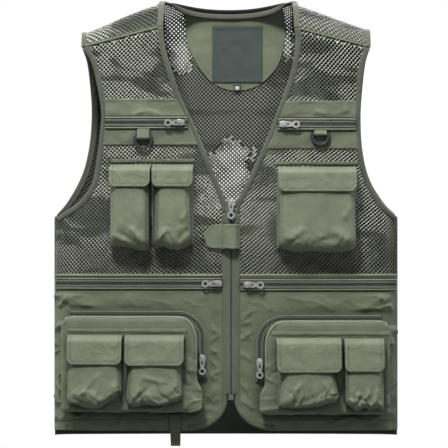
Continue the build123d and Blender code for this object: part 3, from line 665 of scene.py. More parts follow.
def knit(name, rgb, is_back=False):
    """Knitted thread with painted highlights: pale in broad streaks on the side that faces the key light."""
    look = cloth(name, rgb, weave=5200, weave_bump=0.4, crinkle=0.1, vary=0.12, rough=0.5,
                 sheen=0.1, edge=0.0, crease_reach=0.005)
    smooth = dict(interpolation_type="SMOOTHSTEP")
    place = look.object_place()
    # painted highlight: broad leaning streaks of pale colour on thread faces turned to the key light
    leaning = look.node("Mapping", {"Vector": place, "Rotation": (0, 0.35, 0),
                                    "Scale": (1.0, 1.0, 2.6)}).outputs[0]
    streaks = look.span(look.noise(leaning, scale=10.0, detail=2.0, Distortion=0.6),
                        0.41, 0.53, **smooth)
    normal = look.parts(look.node("NewGeometry").outputs["True Normal"])
    either_way = look.node("CombineXYZ", {"X": normal["X"], "Z": normal["Z"],
                                          "Y": look.maths("ABSOLUTE", normal["Y"])})
    facing = look.node("VectorMath", {0: either_way.outputs[0], 1: (-0.35, 0.62, 0.70)},
                       operation="DOT_PRODUCT").outputs["Value"]
    lit = look.maths("MULTIPLY", streaks, look.span(facing, 0.5, 0.85, **smooth))
    xyz = look.parts(place)
    # the painted highlight is weaker lower down the vest
    highlight_fade = look.span(xyz["Z"], -0.425, -0.335, to_min=0.35, **smooth)
    painted_highlight = look.maths("MULTIPLY", lit, highlight_fade)
    if is_back:
        # fewer painted highlights on the outer face of the back
        plain = look.span(normal["Y"], -0.1, 0.1, to_min=1.0, to_max=0.3)
        painted_highlight = look.maths("MULTIPLY", painted_highlight, plain)
    # painted highlight: the thread colour turns pale
    look.set({"Base Color": look.mix(painted_highlight, look.colour(), (*linear((238, 240, 226)), 1))})
    # painted shade from the depth attribute: hole floors go dark, and threads marked for shade go darker
    depth = look.node("Attribute", attribute_name="depth").outputs["Fac"]
    look.darken(look.span(depth, 0.3, 0.7, to_min=0.04))
    if is_back:
        # the inner face is in the shade wherever the fronts cover it
        aside = look.maths("ABSOLUTE", look.maths("SUBTRACT", xyz["X"], 0.005))
        gap = look.maths("MULTIPLY", look.maths("ADD", xyz["Z"], 0.330), 0.33)
        covered = look.span(look.maths("SUBTRACT", aside, gap), 0.0, 0.045)
        inner = look.maths("LESS_THAN", normal["Y"], 0.0)
        shaded = look.maths("MULTIPLY", look.maths("MULTIPLY", covered, inner), 0.5)
        look.darken(look.maths("SUBTRACT", 1.0, shaded))
        shade_inside(look, dark=1.0)
    return look


def grained(name, rgb, grain, detail, dark, light, bump):
    """A hard surface with fine grain; also gives the grain."""
    look = Look(name)
    base = linear(rgb)
    noise = look.noise(look.object_place(), grain, detail)
    look.set({"Base Color": look.ramp(noise, base * dark, base * light),
              "Normal": look.bump(noise, strength=bump, distance=0.0001)})
    return look, noise


def metal(name, rgb, rough=0.28):
    look, noise = grained(name, rgb, grain=900.0, detail=4.0, dark=0.72, light=1.0, bump=0.12)
    look.set({"Metallic": 0.45,
              "Roughness": look.span(noise, 0.0, 1.0, rough * 0.7, rough * 1.5)})
    return look


def plastic(name, rgb, rough=0.38):
    look, _ = grained(name, rgb, grain=1400.0, detail=3.0, dark=0.8, light=1.2, bump=0.15)
    look.set({"Roughness": rough})
    return look


POCKET_CLOTH = cloth("pocket_nylon", (124, 131, 109))
FLAP_CLOTH = cloth("flap_nylon", (128, 136, 113))
LOWER_CLOTH = cloth("lower_nylon", (116, 124, 101), crinkle=0.5)
BACK_CLOTH = shade_inside(cloth("back_nylon", (104, 110, 92), crinkle=0.5), dark=0.5)
PLACKET_CLOTH = cloth("placket_nylon", (106, 113, 93), crinkle=0.3)
BAND_CLOTH = cloth("band_nylon", (118, 125, 104))
FACING_CLOTH = cloth("facing_nylon", (118, 126, 104))
BINDING = cloth("binding_tape", (98, 101, 90), weave=2600, weave_bump=0.5, crinkle=0.3, rough=0.8)
FRONT_KNIT = knit("knit_net_front", (114, 119, 102))
BACK_KNIT = knit("knit_net_back", (124, 129, 111), is_back=True)
# near-black cloth of the neck rim: painted shade on the outer side of the neck binding
NECK_RIM_SHADE = cloth("neck_rim_shade", (24, 25, 25), weave=2600, weave_bump=0.5, rough=0.85)
LABEL_CLOTH = cloth("label_cloth", (72, 84, 80), weave=3000, crinkle=0.1, rough=0.7, vary=0.08)
WHITE_CLOTH = cloth("size_tab_white", (215, 216, 212), gain=1.0, weave=3000, crinkle=0.1)
# near-black cloth for thin strips of painted shade in zip gaps
ZIP_GAP_SHADE = cloth("zip_gap_shade", (34, 36, 30), gain=1.0, weave=2800, crinkle=0.1, rough=0.9,
                   sheen=0.0)
ZIP_TAPE = cloth("zip_tape", (112, 116, 104), weave=2800, weave_bump=0.6, crinkle=0.1,
                 rough=0.8, crease_reach=0.003)
ZIP_COIL = plastic("zip_coil", (92, 96, 86), rough=0.45)
WELT_CLOTH = cloth("welt_nylon", (128, 135, 114), crinkle=0.2, crease_reach=0.006)
# piping cloth, lighter than the pocket cloth: a painted highlight along the cord
LIT_PIPING = cloth("piping_nylon_lit", (150, 158, 134), crinkle=0.2, crease_reach=0.006)
THREAD = cloth("stitch_thread", (138, 144, 120), weave=6000, crinkle=0.05, rough=0.6)
WEBBING = cloth("webbing", (118, 123, 106), weave=1900, weave_bump=0.8, crinkle=0.1, rough=0.8)
HOOK_LOOP = cloth("hook_loop", (70, 74, 62), weave=3600, weave_bump=1.0, crinkle=0.5, rough=0.95)
LINING = cloth("lining_cloth", (84, 90, 74), crinkle=0.5)
METAL = metal("zip_metal", (218, 218, 214))
RING_PLASTIC = plastic("ring_plastic", (60, 68, 60))
BOX_PLASTIC = plastic("box_plastic", (120, 124, 112), rough=0.5)

# ------------------------------------------------------------------ the body surface
# The body is an oval seen from above: broad arcs front and back joined by tight side arcs.
# Girth is the distance round it from its middle, positive to the wearer's left.
HALF_WIDTH, SIDE_RADIUS, FLARE = 272.5, 40.0, math.radians(10.0)
BROAD_RADIUS = (HALF_WIDTH - SIDE_RADIUS) / math.sin(FLARE) + SIDE_RADIUS
HALF_DEPTH = SIDE_RADIUS + (HALF_WIDTH - SIDE_RADIUS) * math.tan(FLARE / 2)
ARC_Y = BROAD_RADIUS - HALF_DEPTH
BROAD_GIRTH = BROAD_RADIUS * FLARE
HALF_GIRTH = BROAD_GIRTH + SIDE_RADIUS * (pi / 2 - FLARE)
HEM_Z, WAIST_Z, ZIP_X = -680.0, -432.0, 8.0
BASE, BAND_TOP = 1.4, 2.6    # how far the cloth and the chest band stand off the oval

# zip heights; cargo is the bent zip: x of its upright, top z, x of its outer end, end z
ZIPS = {1: dict(chest=-192.5, waist=-448.0, cargo=(53.5, -502.5, 246.0, -579.0)),
        -1: dict(chest=-190.0, waist=-446.0, cargo=(-37.5, -495.5, -247.0, -573.0))}


def girth_of(x):
    x = np.asarray(x, float)
    aside = np.abs(x)
    broad = BROAD_RADIUS * np.arcsin(np.clip(aside / BROAD_RADIUS, 0, 1))
    turned = np.arcsin(np.clip((aside - HALF_WIDTH + SIDE_RADIUS) / SIDE_RADIUS, -1, 1))
    tight = BROAD_GIRTH + SIDE_RADIUS * (turned - FLARE)
    return np.sign(x) * np.where(aside <= BROAD_RADIUS * math.sin(FLARE), broad, tight)


def girth_span(*xs):
    return sorted(float(girth_of(x)) for x in xs)


def to_girth(path):
    path = np.asarray(path, float)
    return np.column_stack([girth_of(path[:, 0]), path[:, 1]])


def oval(girth, z, out, facing):
    """A point off the oval; facing is -1 in front and 1 behind."""
    girth, z, out = np.broadcast_arrays(np.asarray(girth, float), np.asarray(z, float),
                                        np.asarray(out, float))
    around = np.abs(girth)
    broad = around <= BROAD_GIRTH
    angle = np.where(broad, around / BROAD_RADIUS, FLARE + (around - BROAD_GIRTH) / SIDE_RADIUS)
    x = np.where(broad, (BROAD_RADIUS + out) * np.sin(angle),
                 HALF_WIDTH - SIDE_RADIUS + (SIDE_RADIUS + out) * np.sin(angle))
    y = np.where(broad, (BROAD_RADIUS + out) * np.cos(angle) - ARC_Y,
                 (SIDE_RADIUS + out) * np.cos(angle))
    return np.stack([np.sign(girth) * x, facing * y, z], -1)


def front_oval(girth, z, out):
    return oval(girth, z, out, -1)


def x_of(girth):
    return oval(girth, 0, 0, 1)[..., 0]


# x0, z0, x1, z1, width, height
FRONT_CREASES = [
    (-266, -464, -205, -489, 6.0, 3.0), (-268, -524, -263, -480, 4.0, 2.0),
    (-34, -600, -10, -584, 4.0, 2.0), (-44, -640, -12, -610, 4.5, 2.2),
    (-62, -664, -18, -640, 5.0, 2.0), (-200, -468, -120, -482, 8.0, 1.2),
    (-264, -640, -225, -672, 6.0, 2.4), (-150, -668, -60, -664, 5.0, 1.8),
    (-30, -540, -10, -528, 3.5, 1.8), (-32, -560, -12, -552, 3.0, 1.6),
    (266, -466, 205, -491, 6.0, 3.0), (20, -536, 46, -520, 3.5, 2.4),
    (18, -553, 46, -572, 3.5, 2.4), (17, -601, 36, -616, 4.0, 2.2),
    (22, -630, 60, -652, 5.0, 2.4), (264, -640, 228, -668, 6.0, 2.4),
    (268, -560, 263, -500, 4.0, 2.0), (100, -472, 190, -482, 8.0, 1.2),
    (20, -512, 44, -505, 3.0, 1.6), (80, -670, 170, -664, 5.0, 1.8),
]


def off_the_zips(x, z):
    """0 along the zips, rising to 1 away from them."""
    left = x > ZIP_X
    waist = np.where(left, ZIPS[1]["waist"], ZIPS[-1]["waist"])
    chest = np.where(left, ZIPS[1]["chest"], ZIPS[-1]["chest"])
    keep = (ease(np.abs(z - waist), 11, 20) * ease(np.abs(z - chest), 11, 22)
            * ease(np.abs(x - ZIP_X), 10, 20))
    for side in SIDES:
        upright, top, _, end = ZIPS[side]["cargo"]
        beside = ease(np.abs(x - upright), 10, 16) + (z < end - 30) + (z > top + 12)
        above = ease(np.abs(z - top), 10, 15) + (np.abs(x) < abs(upright) - 8)
        clear = np.clip(beside, 0, 1) * np.clip(above, 0, 1)
        keep = np.where(left == (side > 0), keep * clear, keep)
    return keep


def front_drape(girth, z):
    """How far the front cloth stands off the oval: soft waves, and folds below the waist."""
    x = x_of(girth)
    aside = np.abs(x)
    bands = [  # height, size, angle, seed, stretch, where
        (2.6, 15.0, 0.25, 11, 2.6, bell(aside, 262, 26)),
        (1.5, 22.0, -0.5, 23, 2.4, 0.35 + 0.65 * ease(aside, 205, 262)),
        (1.4, 14.0, -0.9, 31, 2.6, bell(np.abs(x - ZIP_X), 28, 12)),
        (2.2, 18.0, 0.12, 47, 3.0, bell(z, -665, 14)),
        (0.7, 20.0, -0.25, 53, 4.0, bell(z, -478, 14)),
    ]
    folded = sum(height * folds(girth, z, *shape) * where for height, *shape, where in bands)
    folded = folded + 0.45 * creases(x, z, FRONT_CREASES) * ease(266.0 - aside, 0, 14)
    waves = 1.3 * fractal(girth, z, 95.0, 3, 2) * ease(z, -60, -110)
    lower = (1.35 * folded + 0.6 * fractal(girth, z, 20.0, 61)) * ease(z, -445, -470) \
        * (1 - ease(np.abs(girth), HALF_GIRTH - 16, HALF_GIRTH - 2))
    return (waves + lower) * off_the_zips(x, z)


def front(girth, z, out=0.0):
    drape = front_drape(np.asarray(girth, float), np.asarray(z, float))
    return front_oval(girth, z, np.asarray(out) + drape)


NECK_X, NECK_HALF, NECK_Y = 4.0, 101.0, 57.0    # middle, half width and depth of the neck
YOKE_Z = -39.0                                  # the back bends forward above this height


def neck_point(x):
    """y and z of the neckline behind the neck, at x."""
    ratio = np.clip(np.abs(x - NECK_X) / NECK_HALF, 0, 1)
    return NECK_Y * (1 - ratio ** 3.6), -16.0 * (1 - ratio ** 2.2) + 4.6


def yoke_length(x, back_y):
    neck_y, neck_z = neck_point(x)
    return np.hypot(back_y - neck_y, neck_z - YOKE_Z) + 6.0


def back(girth, rise, out=0.0):
    """Back surface. rise is height up to YOKE_Z, then length on up to the neckline."""
    girth, rise, out = np.broadcast_arrays(np.asarray(girth, float), np.asarray(rise, float),
                                           np.asarray(out, float))
    waves = 1.6 * fractal(girth, rise, 110.0, 71, 2) * ease(rise, -70, -120)
    wrinkles = (1.6 * folds(girth, rise, size=26.0, angle=0.3, seed=77, stretch=2.5)
                + 1.6 * folds(girth, rise, size=19.0, angle=-0.5, seed=79, stretch=2.5)
                + 0.6 * fractal(girth, rise, 20, 83))
    drape = (waves + ease(rise, -440, -470) * wrinkles) \
        * ease(HALF_GIRTH - np.abs(girth), 1, 14)
    low = oval(girth, np.minimum(rise, YOKE_Z), out + drape, 1)
    x, back_y = x_of(girth), low[..., 1]
    neck_y, neck_z = neck_point(x)
    t = np.clip((rise - YOKE_Z) / yoke_length(x, back_y), 0, 1.0)
    start, middle, end = (1 - t) ** 2, 2 * t * (1 - t), t * t
    y = start * back_y + middle * 0.98 * back_y + end * (neck_y + out * 0.6)
    z = start * YOKE_Z + middle * (YOKE_Z + (neck_z - YOKE_Z) * 0.75) + end * (neck_z + out * 0.5)
    return np.where((rise > YOKE_Z)[..., None], np.stack([low[..., 0], y, z], -1), low)


def oval_y(x):
    return oval(girth_of(x), 0, 0, 1)[..., 1]


def neck_rise(x):
    """rise of the neckline at x on the back surface."""
    return YOKE_Z + yoke_length(np.asarray(x, float), oval_y(x))


def seam_z(x):
    return -37.0 - (np.abs(x) - NECK_HALF) * 0.256


def ridge_top(x):
    slope = -(np.abs(x) - NECK_HALF) * 0.398
    return slope + np.where(np.asarray(x) > 0, 4.6 + 0.028 * (np.abs(x) - 104), 3.6)


def shoulder_arc(x):
    """Radius, half angle and centre height of the arc over the shoulder at x."""
    half, top = oval_y(x), ridge_top(x) - 0.6
    rise = top - seam_z(x)
    radius = (half * half + rise * rise) / (2 * rise)
    lean = np.arcsin(np.clip(half / radius, 0, 1))
    return radius, np.where(rise >= radius, pi - lean, lean), top - radius


def shoulder(x, turn, out=0.0):
    """Shoulder. turn runs from -1 at the front seam over the top to 1 at the back seam."""
    x, turn, out = np.broadcast_arrays(np.asarray(x, float), np.asarray(turn, float),
                                       np.asarray(out, float))
    radius, half_angle, centre_z = shoulder_arc(x)
    reach = radius + out + 1.0 * fractal(x, turn * 60, 45.0, 91, 2) * (1 - turn * turn)
    return np.stack([x, reach * np.sin(turn * half_angle),
                     centre_z + reach * np.cos(turn * half_angle)], -1)


# ------------------------------------------------------------------ outlines
# (x, z) points from the top down
V_EDGE = {
    1: [(109, -39.45), (110.5, -60), (107.5, -88), (101, -116), (91, -145), (78, -180),
        (67.5, -208), (54, -239), (39, -271), (25, -299), (13, -322)],
    -1: [(-100, -37.15), (-97, -66), (-90.5, -92), (-82, -118), (-73, -145), (-57, -180),
         (-44, -208), (-31, -239), (-18, -271), (-6, -299), (3, -322)]}
ARM_BACK = {
    1: [(229, -70.2), (222.5, -94), (217, -142), (215, -178), (216.5, -221), (222.5, -261),
        (234.5, -291.5), (254, -321), (272.4, -339)],
    -1: [(-229, -70.2), (-221.5, -94), (-216, -142), (-214.5, -178), (-217.5, -221),
         (-225.5, -261), (-238, -291.5), (-256, -321), (-272.4, -339)]}
ARM_FRONT = {
    1: [(229, -70.2), (221, -94), (215, -142), (213, -178), (215, -221), (221.5, -261),
        (233, -292), (252, -323), (272.4, -341)],
    -1: [(-229, -70.2), (-214, -94), (-202.5, -142), (-198, -178), (-201, -215),
         (-205.5, -250), (-212, -284), (-227, -310), (-247, -328), (-272.4, -344)]}
CORNER_Z, CORNER_WIDTH, CORNER_HEIGHT = -629.0, 62.0, 51.0    # round lower corner of a front
TAPE_WIDTH = 9.6


def x_along(outline):
    """x as a function of z along an outline."""
    path = curve(outline, 200)
    order = np.argsort(path[:, 1])
    return lambda z: np.interp(z, path[order, 1], path[order, 0])


v_edge_x = {side: x_along(V_EDGE[side]) for side in SIDES}
arm_front_x = {side: x_along(ARM_FRONT[side]) for side in SIDES}
arm_back_x = {side: x_along(ARM_BACK[side]) for side in SIDES}


# ------------------------------------------------------------------ nets
def warp_front(across, up):
    return (across + 7.0 * value_noise(across / 130.0, up / 150.0, 101) + 0.05 * up,
            up + 7.0 * value_noise(across / 140.0, up / 120.0, 103) - 0.10 * np.abs(across))


def warp_back(across, up):
    return (across + 6.0 * value_noise(across / 120.0, up / 130.0, 107) + 0.03 * up,
            up + 8.0 * value_noise(across / 150.0, up / 120.0, 109) + 0.00025 * across * across)


def warp_shoulder(across, up):
    return (across + 4 * value_noise(across / 60, up / 50, 113),
            1.4 * up + 3 * value_noise(across / 50, up / 60, 117))


def openness(across, up):
    """Above 0 where the back net stretches open: low in the middle and beside the neck."""
    low = bell(across, 8 + 0.12 * (up + 260), 36.0) * ease(up, -190, -240) \
        * (1 - ease(-up, 312, 340))
    right = bell(across, -84 - 0.20 * (up + 20), 21.0) * ease(up, -128, -84)
    left = 0.85 * bell(across, 99, 10.0) * ease(up, -112, -60)
    speckle = cell_hash(np.floor(across / 3.3), np.floor(up / 3.3), 151)
    streak = fractal(across + 0.5 * up, 0.5 * up - 0.3 * across, 15.0, 141, 2)
    return low + right + left + 0.10 * (speckle - 0.5) + 0.28 * streak - 0.40


def back_hole(across, up):
    stretch = openness(across, up)
    return np.where(stretch < 0, 1.8 + 0.05 * fractal(across, up, 30.0, 143, 2),
                    0.5 + 0.68 * ease(stretch, 0, 0.45))


def front_net(side):
    def inside(girth, z):
        x = x_of(girth)
        inner = np.where(z > -322, v_edge_x[side](z) + side * 3.0, ZIP_X + side * 9.0)
        outer = np.where(z > -341, np.abs(arm_front_x[side](np.maximum(z, -341))) - 2.5, 400.0)
        return ((x * side > inner * side) & (np.abs(x) < outer) & (z > WAIST_Z - 3)
                & (np.abs(girth) < HALF_GIRTH - 1.2) & (z < seam_z(x) - 0.5))

    girths = (0, HALF_GIRTH + 20) if side > 0 else (-HALF_GIRTH - 20, 30)
    net(front, inside, girths, (-450, 10), warp_front).make(
        f"front_net_{SIDE_NAME[side]}", FRONT_KNIT, BLEND[side], "mesh",
        f"front_mesh_{SIDE_NAME[side]}")


def back_net(side):
    def inside(girth, rise):
        x = x_of(girth)
        arm_x = arm_back_x[side](np.clip(rise, -339, -70.2))
        outer = np.where(rise > -339, np.abs(arm_x) - 2.5, 400.0)
        top = np.where(np.abs(x - NECK_X) < 105, neck_rise(x) - 3.5, seam_z(x) - 0.5)
        half = girth >= 0 if side > 0 else girth < 0
        return ((np.abs(x) < outer) & (rise > WAIST_Z - 3)
                & (np.abs(girth) < HALF_GIRTH - 1.2) & (rise < top) & half)

    girths = (-20, HALF_GIRTH + 20) if side > 0 else (-HALF_GIRTH - 20, 20)
    # holes away from the open stretch get dark floors, and threads in the open stretch get darker: both painted shade
    net(back, inside, girths, (-450, 60), warp_back, hole=back_hole,
        shade_floored=lambda across, up: openness(across, up) < 0,
        thread_shade=lambda across, up: ease(openness(across, up), -0.1, 0.1)).make(
        f"back_net_{SIDE_NAME[side]}", BACK_KNIT, "back", "mesh",
        *(["back_mesh_panel"] if side > 0 else []))


# distance of the shoulder net's neck edge from the middle: front half, back half
SHOULDER_INNER = {1: (111.6, 108.5), -1: (103.6, 101.5)}


def shoulder_net(side):
    def surface(x, length, out=0.0):
        radius, half_angle, _ = shoulder_arc(x)
        return shoulder(x, np.clip(length / (radius * half_angle), -1, 1), out)

    def inside(x, length):
        radius, half_angle, _ = shoulder_arc(x)
        inner = np.where(length < 0, *SHOULDER_INNER[side])
        return ((x * side > inner) & (np.abs(x) < 227.5)
                & (np.abs(length) < radius * half_angle - 0.5))

    xs = (90, 240) if side > 0 else (-240, -90)
    # every hole of the shoulder net gets a dark floor: painted shade seen through it
    net(surface, inside, xs, (-110, 110), warp_shoulder, hole=1.9,
        shade_floored=lambda across, up: np.ones(len(across), bool)).make(
        f"shoulder_net_{SIDE_NAME[side]}", FRONT_KNIT, "back", "mesh",
        *(["shoulder_yokes"] if side > 0 else []))


def shoulder_seams(side):
    """Seams along the neck edge and where the shoulder meets the front and back nets."""
    neck_x, start_x = (109.0, 113.0) if side > 0 else (102.0, 104.0)
    turns = np.linspace(0.12, 0.98, 24)
    mesh = Mesh().cord(shoulder, np.column_stack([np.full(24, side * neck_x), turns]), 1.3, 0.5)
    for end in (-1, 1):
        start, stop = side * start_x, side * 229.0
        mesh.cord(shoulder, level(start, stop, end * 0.985, 60), radius=1.7, out=0.4)
        mesh.cord(shoulder, level(start, stop, end * 0.93, 60), radius=0.7, out=0.9, count=6)
    mesh.make(f"shoulder_seams_{SIDE_NAME[side]}", BAND_CLOTH, "back", "mesh")


# ------------------------------------------------------------------ back panels
def back_lower():
    rows = np.r_[HEM_Z - 8.6, HEM_Z - 8.2, HEM_Z - 7.4, np.linspace(HEM_Z - 6, WAIST_Z, 92)]
    edge = HALF_GIRTH - 0.2
    mesh = Mesh().sheet(back, rows, -edge, edge, columns=150, thick=1.0, lift=0.1)
    hem = level(-HALF_GIRTH + 2, HALF_GIRTH - 2, HEM_Z + 17.0, 200)
    mesh.tape(back, hem, width=1.2, thick=0.7, out=0.9, step=5)
    mesh.make("back_lower_cloth", BACK_CLOTH, "back", "woven", "back_lower_panel")


def side_seams():
    mesh = Mesh()
    z = np.linspace(HEM_Z, -341, 120)
    for end in (-1, 1):
        path = np.column_stack([np.full(120, end * (HALF_WIDTH + 0.4)), np.zeros(120), z])
        mesh.sweep(path, np.tile((float(end), 0.0, 0.0), (120, 1)), round_section(1.9, 8, 0.75))
    waist = level(-HALF_GIRTH + 2, HALF_GIRTH - 2, WAIST_Z + 1, 160)
    mesh.tape(back, waist, width=9.0, thick=1.3, out=0.6, crown=0.3, step=5, pucker=0.4, seed=5)
    mesh.make("side_and_back_seams", BINDING, "back", "binding")


# lower edge of the neck facing, (x, rise) from the wearer's right to the left
FACING_EDGE = curve([(-66, -14), (-65, -45), (-57, -75), (-41, -103), (-18, -127), (14, -137),
                     (44, -132), (66, -118), (84, -96), (93, -68), (96, -40), (94, -14)], 160)
FACING_LOWEST = int(np.argmin(FACING_EDGE[:, 1]))
FACING_TOP = -14.0           # above this the facing follows the neckline


def neck_inside(x, rise, out=0.0):
    """Inside of the back: out is measured inwards, towards the front."""
    ripple = 0.5 * fractal(x, rise, 16.0, 121, 2) * ease(rise, -136, -120)
    return back(girth_of(x), rise, -0.6 - np.asarray(out) - ripple)


def facing_surface(x, rise, out=0.0):
    top = FACING_TOP + (rise - FACING_TOP) / 12.0 * (neck_rise(x) - 1.5 - FACING_TOP)
    return neck_inside(x, np.where(rise > FACING_TOP, top, rise), out)


def facing_right(rise):
    """The facing's edge at the wearer's right, which is its low x end."""
    if rise >= FACING_TOP:
        return -66.0 - (rise - FACING_TOP) * 0.6
    half = FACING_EDGE[:FACING_LOWEST + 1]
    return float(np.interp(-rise, -half[:, 1], half[:, 0]))


def facing_left(rise):
    if rise >= FACING_TOP:
        return 94.0 - (rise - FACING_TOP) * 0.4
    half = FACING_EDGE[FACING_LOWEST:]
    return float(np.interp(rise, half[:, 1], half[:, 0]))


def neck_facing():
    """Facing, label and size tab inside the back of the neck."""
    rows = np.r_[-136.6 + np.array([0, 0.5, 1.5, 3, 5]), np.linspace(-129, FACING_TOP, 60),
                 np.linspace(-12.5, -2, 8)]
    Mesh().sheet(facing_surface, rows, facing_right, facing_left, columns=70, thick=0.9,
                 lift=0.2, turned=True).make(
        "neck_facing_cloth", FACING_CLOTH, "back", "woven", "back_neck_facing")
    rows = np.r_[-124, -123.6, -123, -122, np.linspace(-120, -38, 40), -36, -35, -34.4, -34]
    Mesh().sheet(neck_inside, rows, -21.5, 58.5, columns=40, thick=0.8, lift=1.5, hem=0.25,
                 turned=True).make("neck_label_cloth", LABEL_CLOTH, "back", "label", "neck_label")
    frame_line = [(-19, -37), (56, -37), (56, -121.5), (-19, -121.5), (-19, -37)]
    mesh = Mesh().stitches(neck_inside, frame_line, 2.75, pitch=3.0, length=2.0, radius=0.28)
    mesh.stitches(neck_inside, shift(FACING_EDGE[::-1], 3.0)[8:-8], 1.4)
    mesh.make("neck_stitches", THREAD, "back", "woven")
    Mesh().sheet(neck_inside, np.linspace(-138, -124.5, 10), 12.7, 24.2, columns=8, thick=0.9,
                 lift=2.0, turned=True).make(
        "size_tab_cloth", LABEL_CLOTH, "back", "label", "size_tab")
    Mesh().sheet(neck_inside, np.linspace(-136.2, -129.6, 8), 14.6, 21.6, columns=8, thick=0.5,
                 lift=3.0, turned=True).make("size_tab_patch", WHITE_CLOTH, "back", "label")


# ------------------------------------------------------------------ neckline and armholes
def neck_curve():
    """The neckline from the wearer's right front seam, round the back, to the left seam."""
    turns = np.linspace(-1, 0, 26)[:-1]
    right = on(shoulder, np.column_stack([np.interp(-turns, [0, 1], [-102.4, -104.8]), turns]),
               0.3)
    radius = 106.4
    x = NECK_X - radius * np.cos(np.linspace(0, pi, 90))
    y, z = neck_point(NECK_X + (x - NECK_X) * NECK_HALF / radius)
    y = y + 0.6
    middle = (np.column_stack([x, y, z]),
              unit(np.column_stack([0 * x, y / NECK_Y, 1.0 - 0.75 * (y / NECK_Y)])))
    turns = np.linspace(0, -1, 26)[1:]
    left = on(shoulder, np.column_stack([np.interp(-turns, [0, 1], [110.4, 113.4]), turns]), 0.3)
    points, normals = [np.vstack(parts) for parts in zip(right, middle, left)]
    distance = lengths(points)
    stations = np.arange(0, distance[-1], 3.0)
    points, normals = [resample(a, distance, stations) for a in (points, normals)]
    for _ in range(3):
        for line in (points, normals):
            line[1:-1] = (line[:-2] + line[1:-1] * 2 + line[2:]) / 4
    return points, normals


def neckline():
    points, normals = neck_curve()
    mesh = Mesh()
    for part in (points[:, 0] < NECK_X - 86, points[:, 0] > NECK_X + 86):
        mesh.sweep(points[part], normals[part], tape_section(TAPE_WIDTH, 2.2, 0.4, lift=-1.0))
    # round the back the tape hangs below the rim, outside and inside
    count, reach = 90, 90.0
    x = NECK_X + np.linspace(-reach, reach, count)
    y, z = neck_point(x)
    fade = 1 - np.abs((x - NECK_X) / reach) ** 8
    for facing, drop, width in ((1, -5.5, 9.0), (-1, -6.6, 9.4)):
        path = np.column_stack([x, y + facing * 1.5, z + drop * fade])
        mesh.sweep(path, np.tile((0.0, facing, 0.1), (count, 1)),
                   tape_section(width, 1.3, 0.35) * (0.5 + 0.5 * fade)[:, None, None])
    mesh.make("neckline_tape", BINDING, "back", "binding", "back_neck_binding")

    # dark rim standing on the back neckline: near-black as painted shade on the outer side of the neck binding
    rim = tape_section(6.4, 3.4, 0.7, lift=-1.2) * (0.35 + 0.65 * fade)[:, None, None]
    Mesh().sweep(np.column_stack([x, y - 0.2, z + 1.2]), np.tile((0.0, -1.0, 0.05), (count, 1)),
                 rim).make("neck_rim_shade_cord", NECK_RIM_SHADE, "back", "binding")


def arm_line(outline, side, inset, drop=0.0):
    return to_girth(curve([(x - side * inset, z - drop) for x, z in outline[side]], 160))


def back_armholes():
    mesh, thread = Mesh(), Mesh()
    for side in SIDES:
        # back armhole edge, then over the shoulder tip
        mesh.tape(back, arm_line(ARM_BACK, side, 3.6), TAPE_WIDTH, thick=2.0, out=-0.5,
                  crown=0.4)
        tip = np.column_stack([np.full(40, side * 225.6), np.linspace(1.02, -1.02, 40)])
        mesh.sweep(*on(shoulder, tip, -0.5), tape_section(TAPE_WIDTH, 2.2, 0.4))
        thread.stitches(back, arm_line(ARM_BACK, side, 8.6, drop=0.5), 1.6)
    mesh.make("back_armhole_tapes", BINDING, "back", "binding", "armhole_bindings_back")
    thread.make("back_armhole_stitches", THREAD, "back", "binding")


def front_edges(side):
    name, body = SIDE_NAME[side], BLEND[side]
    Mesh().tape(front, arm_line(ARM_FRONT, side, 4.2), TAPE_WIDTH, thick=2.1, out=-0.4,
                crown=0.4).make(f"armhole_tape_{name}", BINDING, body, "binding",
                                f"armhole_binding_front_{name}")
    # front edge: V, placket and round hem corner
    lip = ZIP_X + side * 5.3
    angle = np.linspace(0, pi / 2, 24)
    corner = np.column_stack([lip + side * CORNER_WIDTH * (1 - np.cos(angle)),
                              CORNER_Z - CORNER_HEIGHT * np.sin(angle)])
    outer = even(np.vstack([curve(V_EDGE[side], 120)[:-1], [(lip, -326)],
                            [(lip, CORNER_Z + 8)], corner]), 3.0)
    inner = shift(outer, side * TAPE_WIDTH / 2)
    cut = int(np.argmax(inner[:, 1] < -332.0))
    shape = dict(width=TAPE_WIDTH, thick=2.0, out=-0.3, crown=0.45, step=3.5, pucker=0.15)
    Mesh().tape(front, to_girth(inner[:cut + 1]), seed=side + 3, **shape).make(
        f"front_edge_tape_{name}", BINDING, body, "binding", f"front_edge_binding_{name}")
    Mesh().tape(front, to_girth(inner[cut:]), seed=side + 5, **shape).make(
        f"placket_edge_{name}", PLACKET_CLOTH, body, "binding")
    thread = Mesh().stitches(front, to_girth(shift(outer, side * (TAPE_WIDTH - 1.4))), 1.75)
    thread.stitches(front, arm_line(ARM_FRONT, side, 8.0, drop=0.6), 1.8)
    thread.make(f"front_edge_stitches_{name}", THREAD, body, "binding")


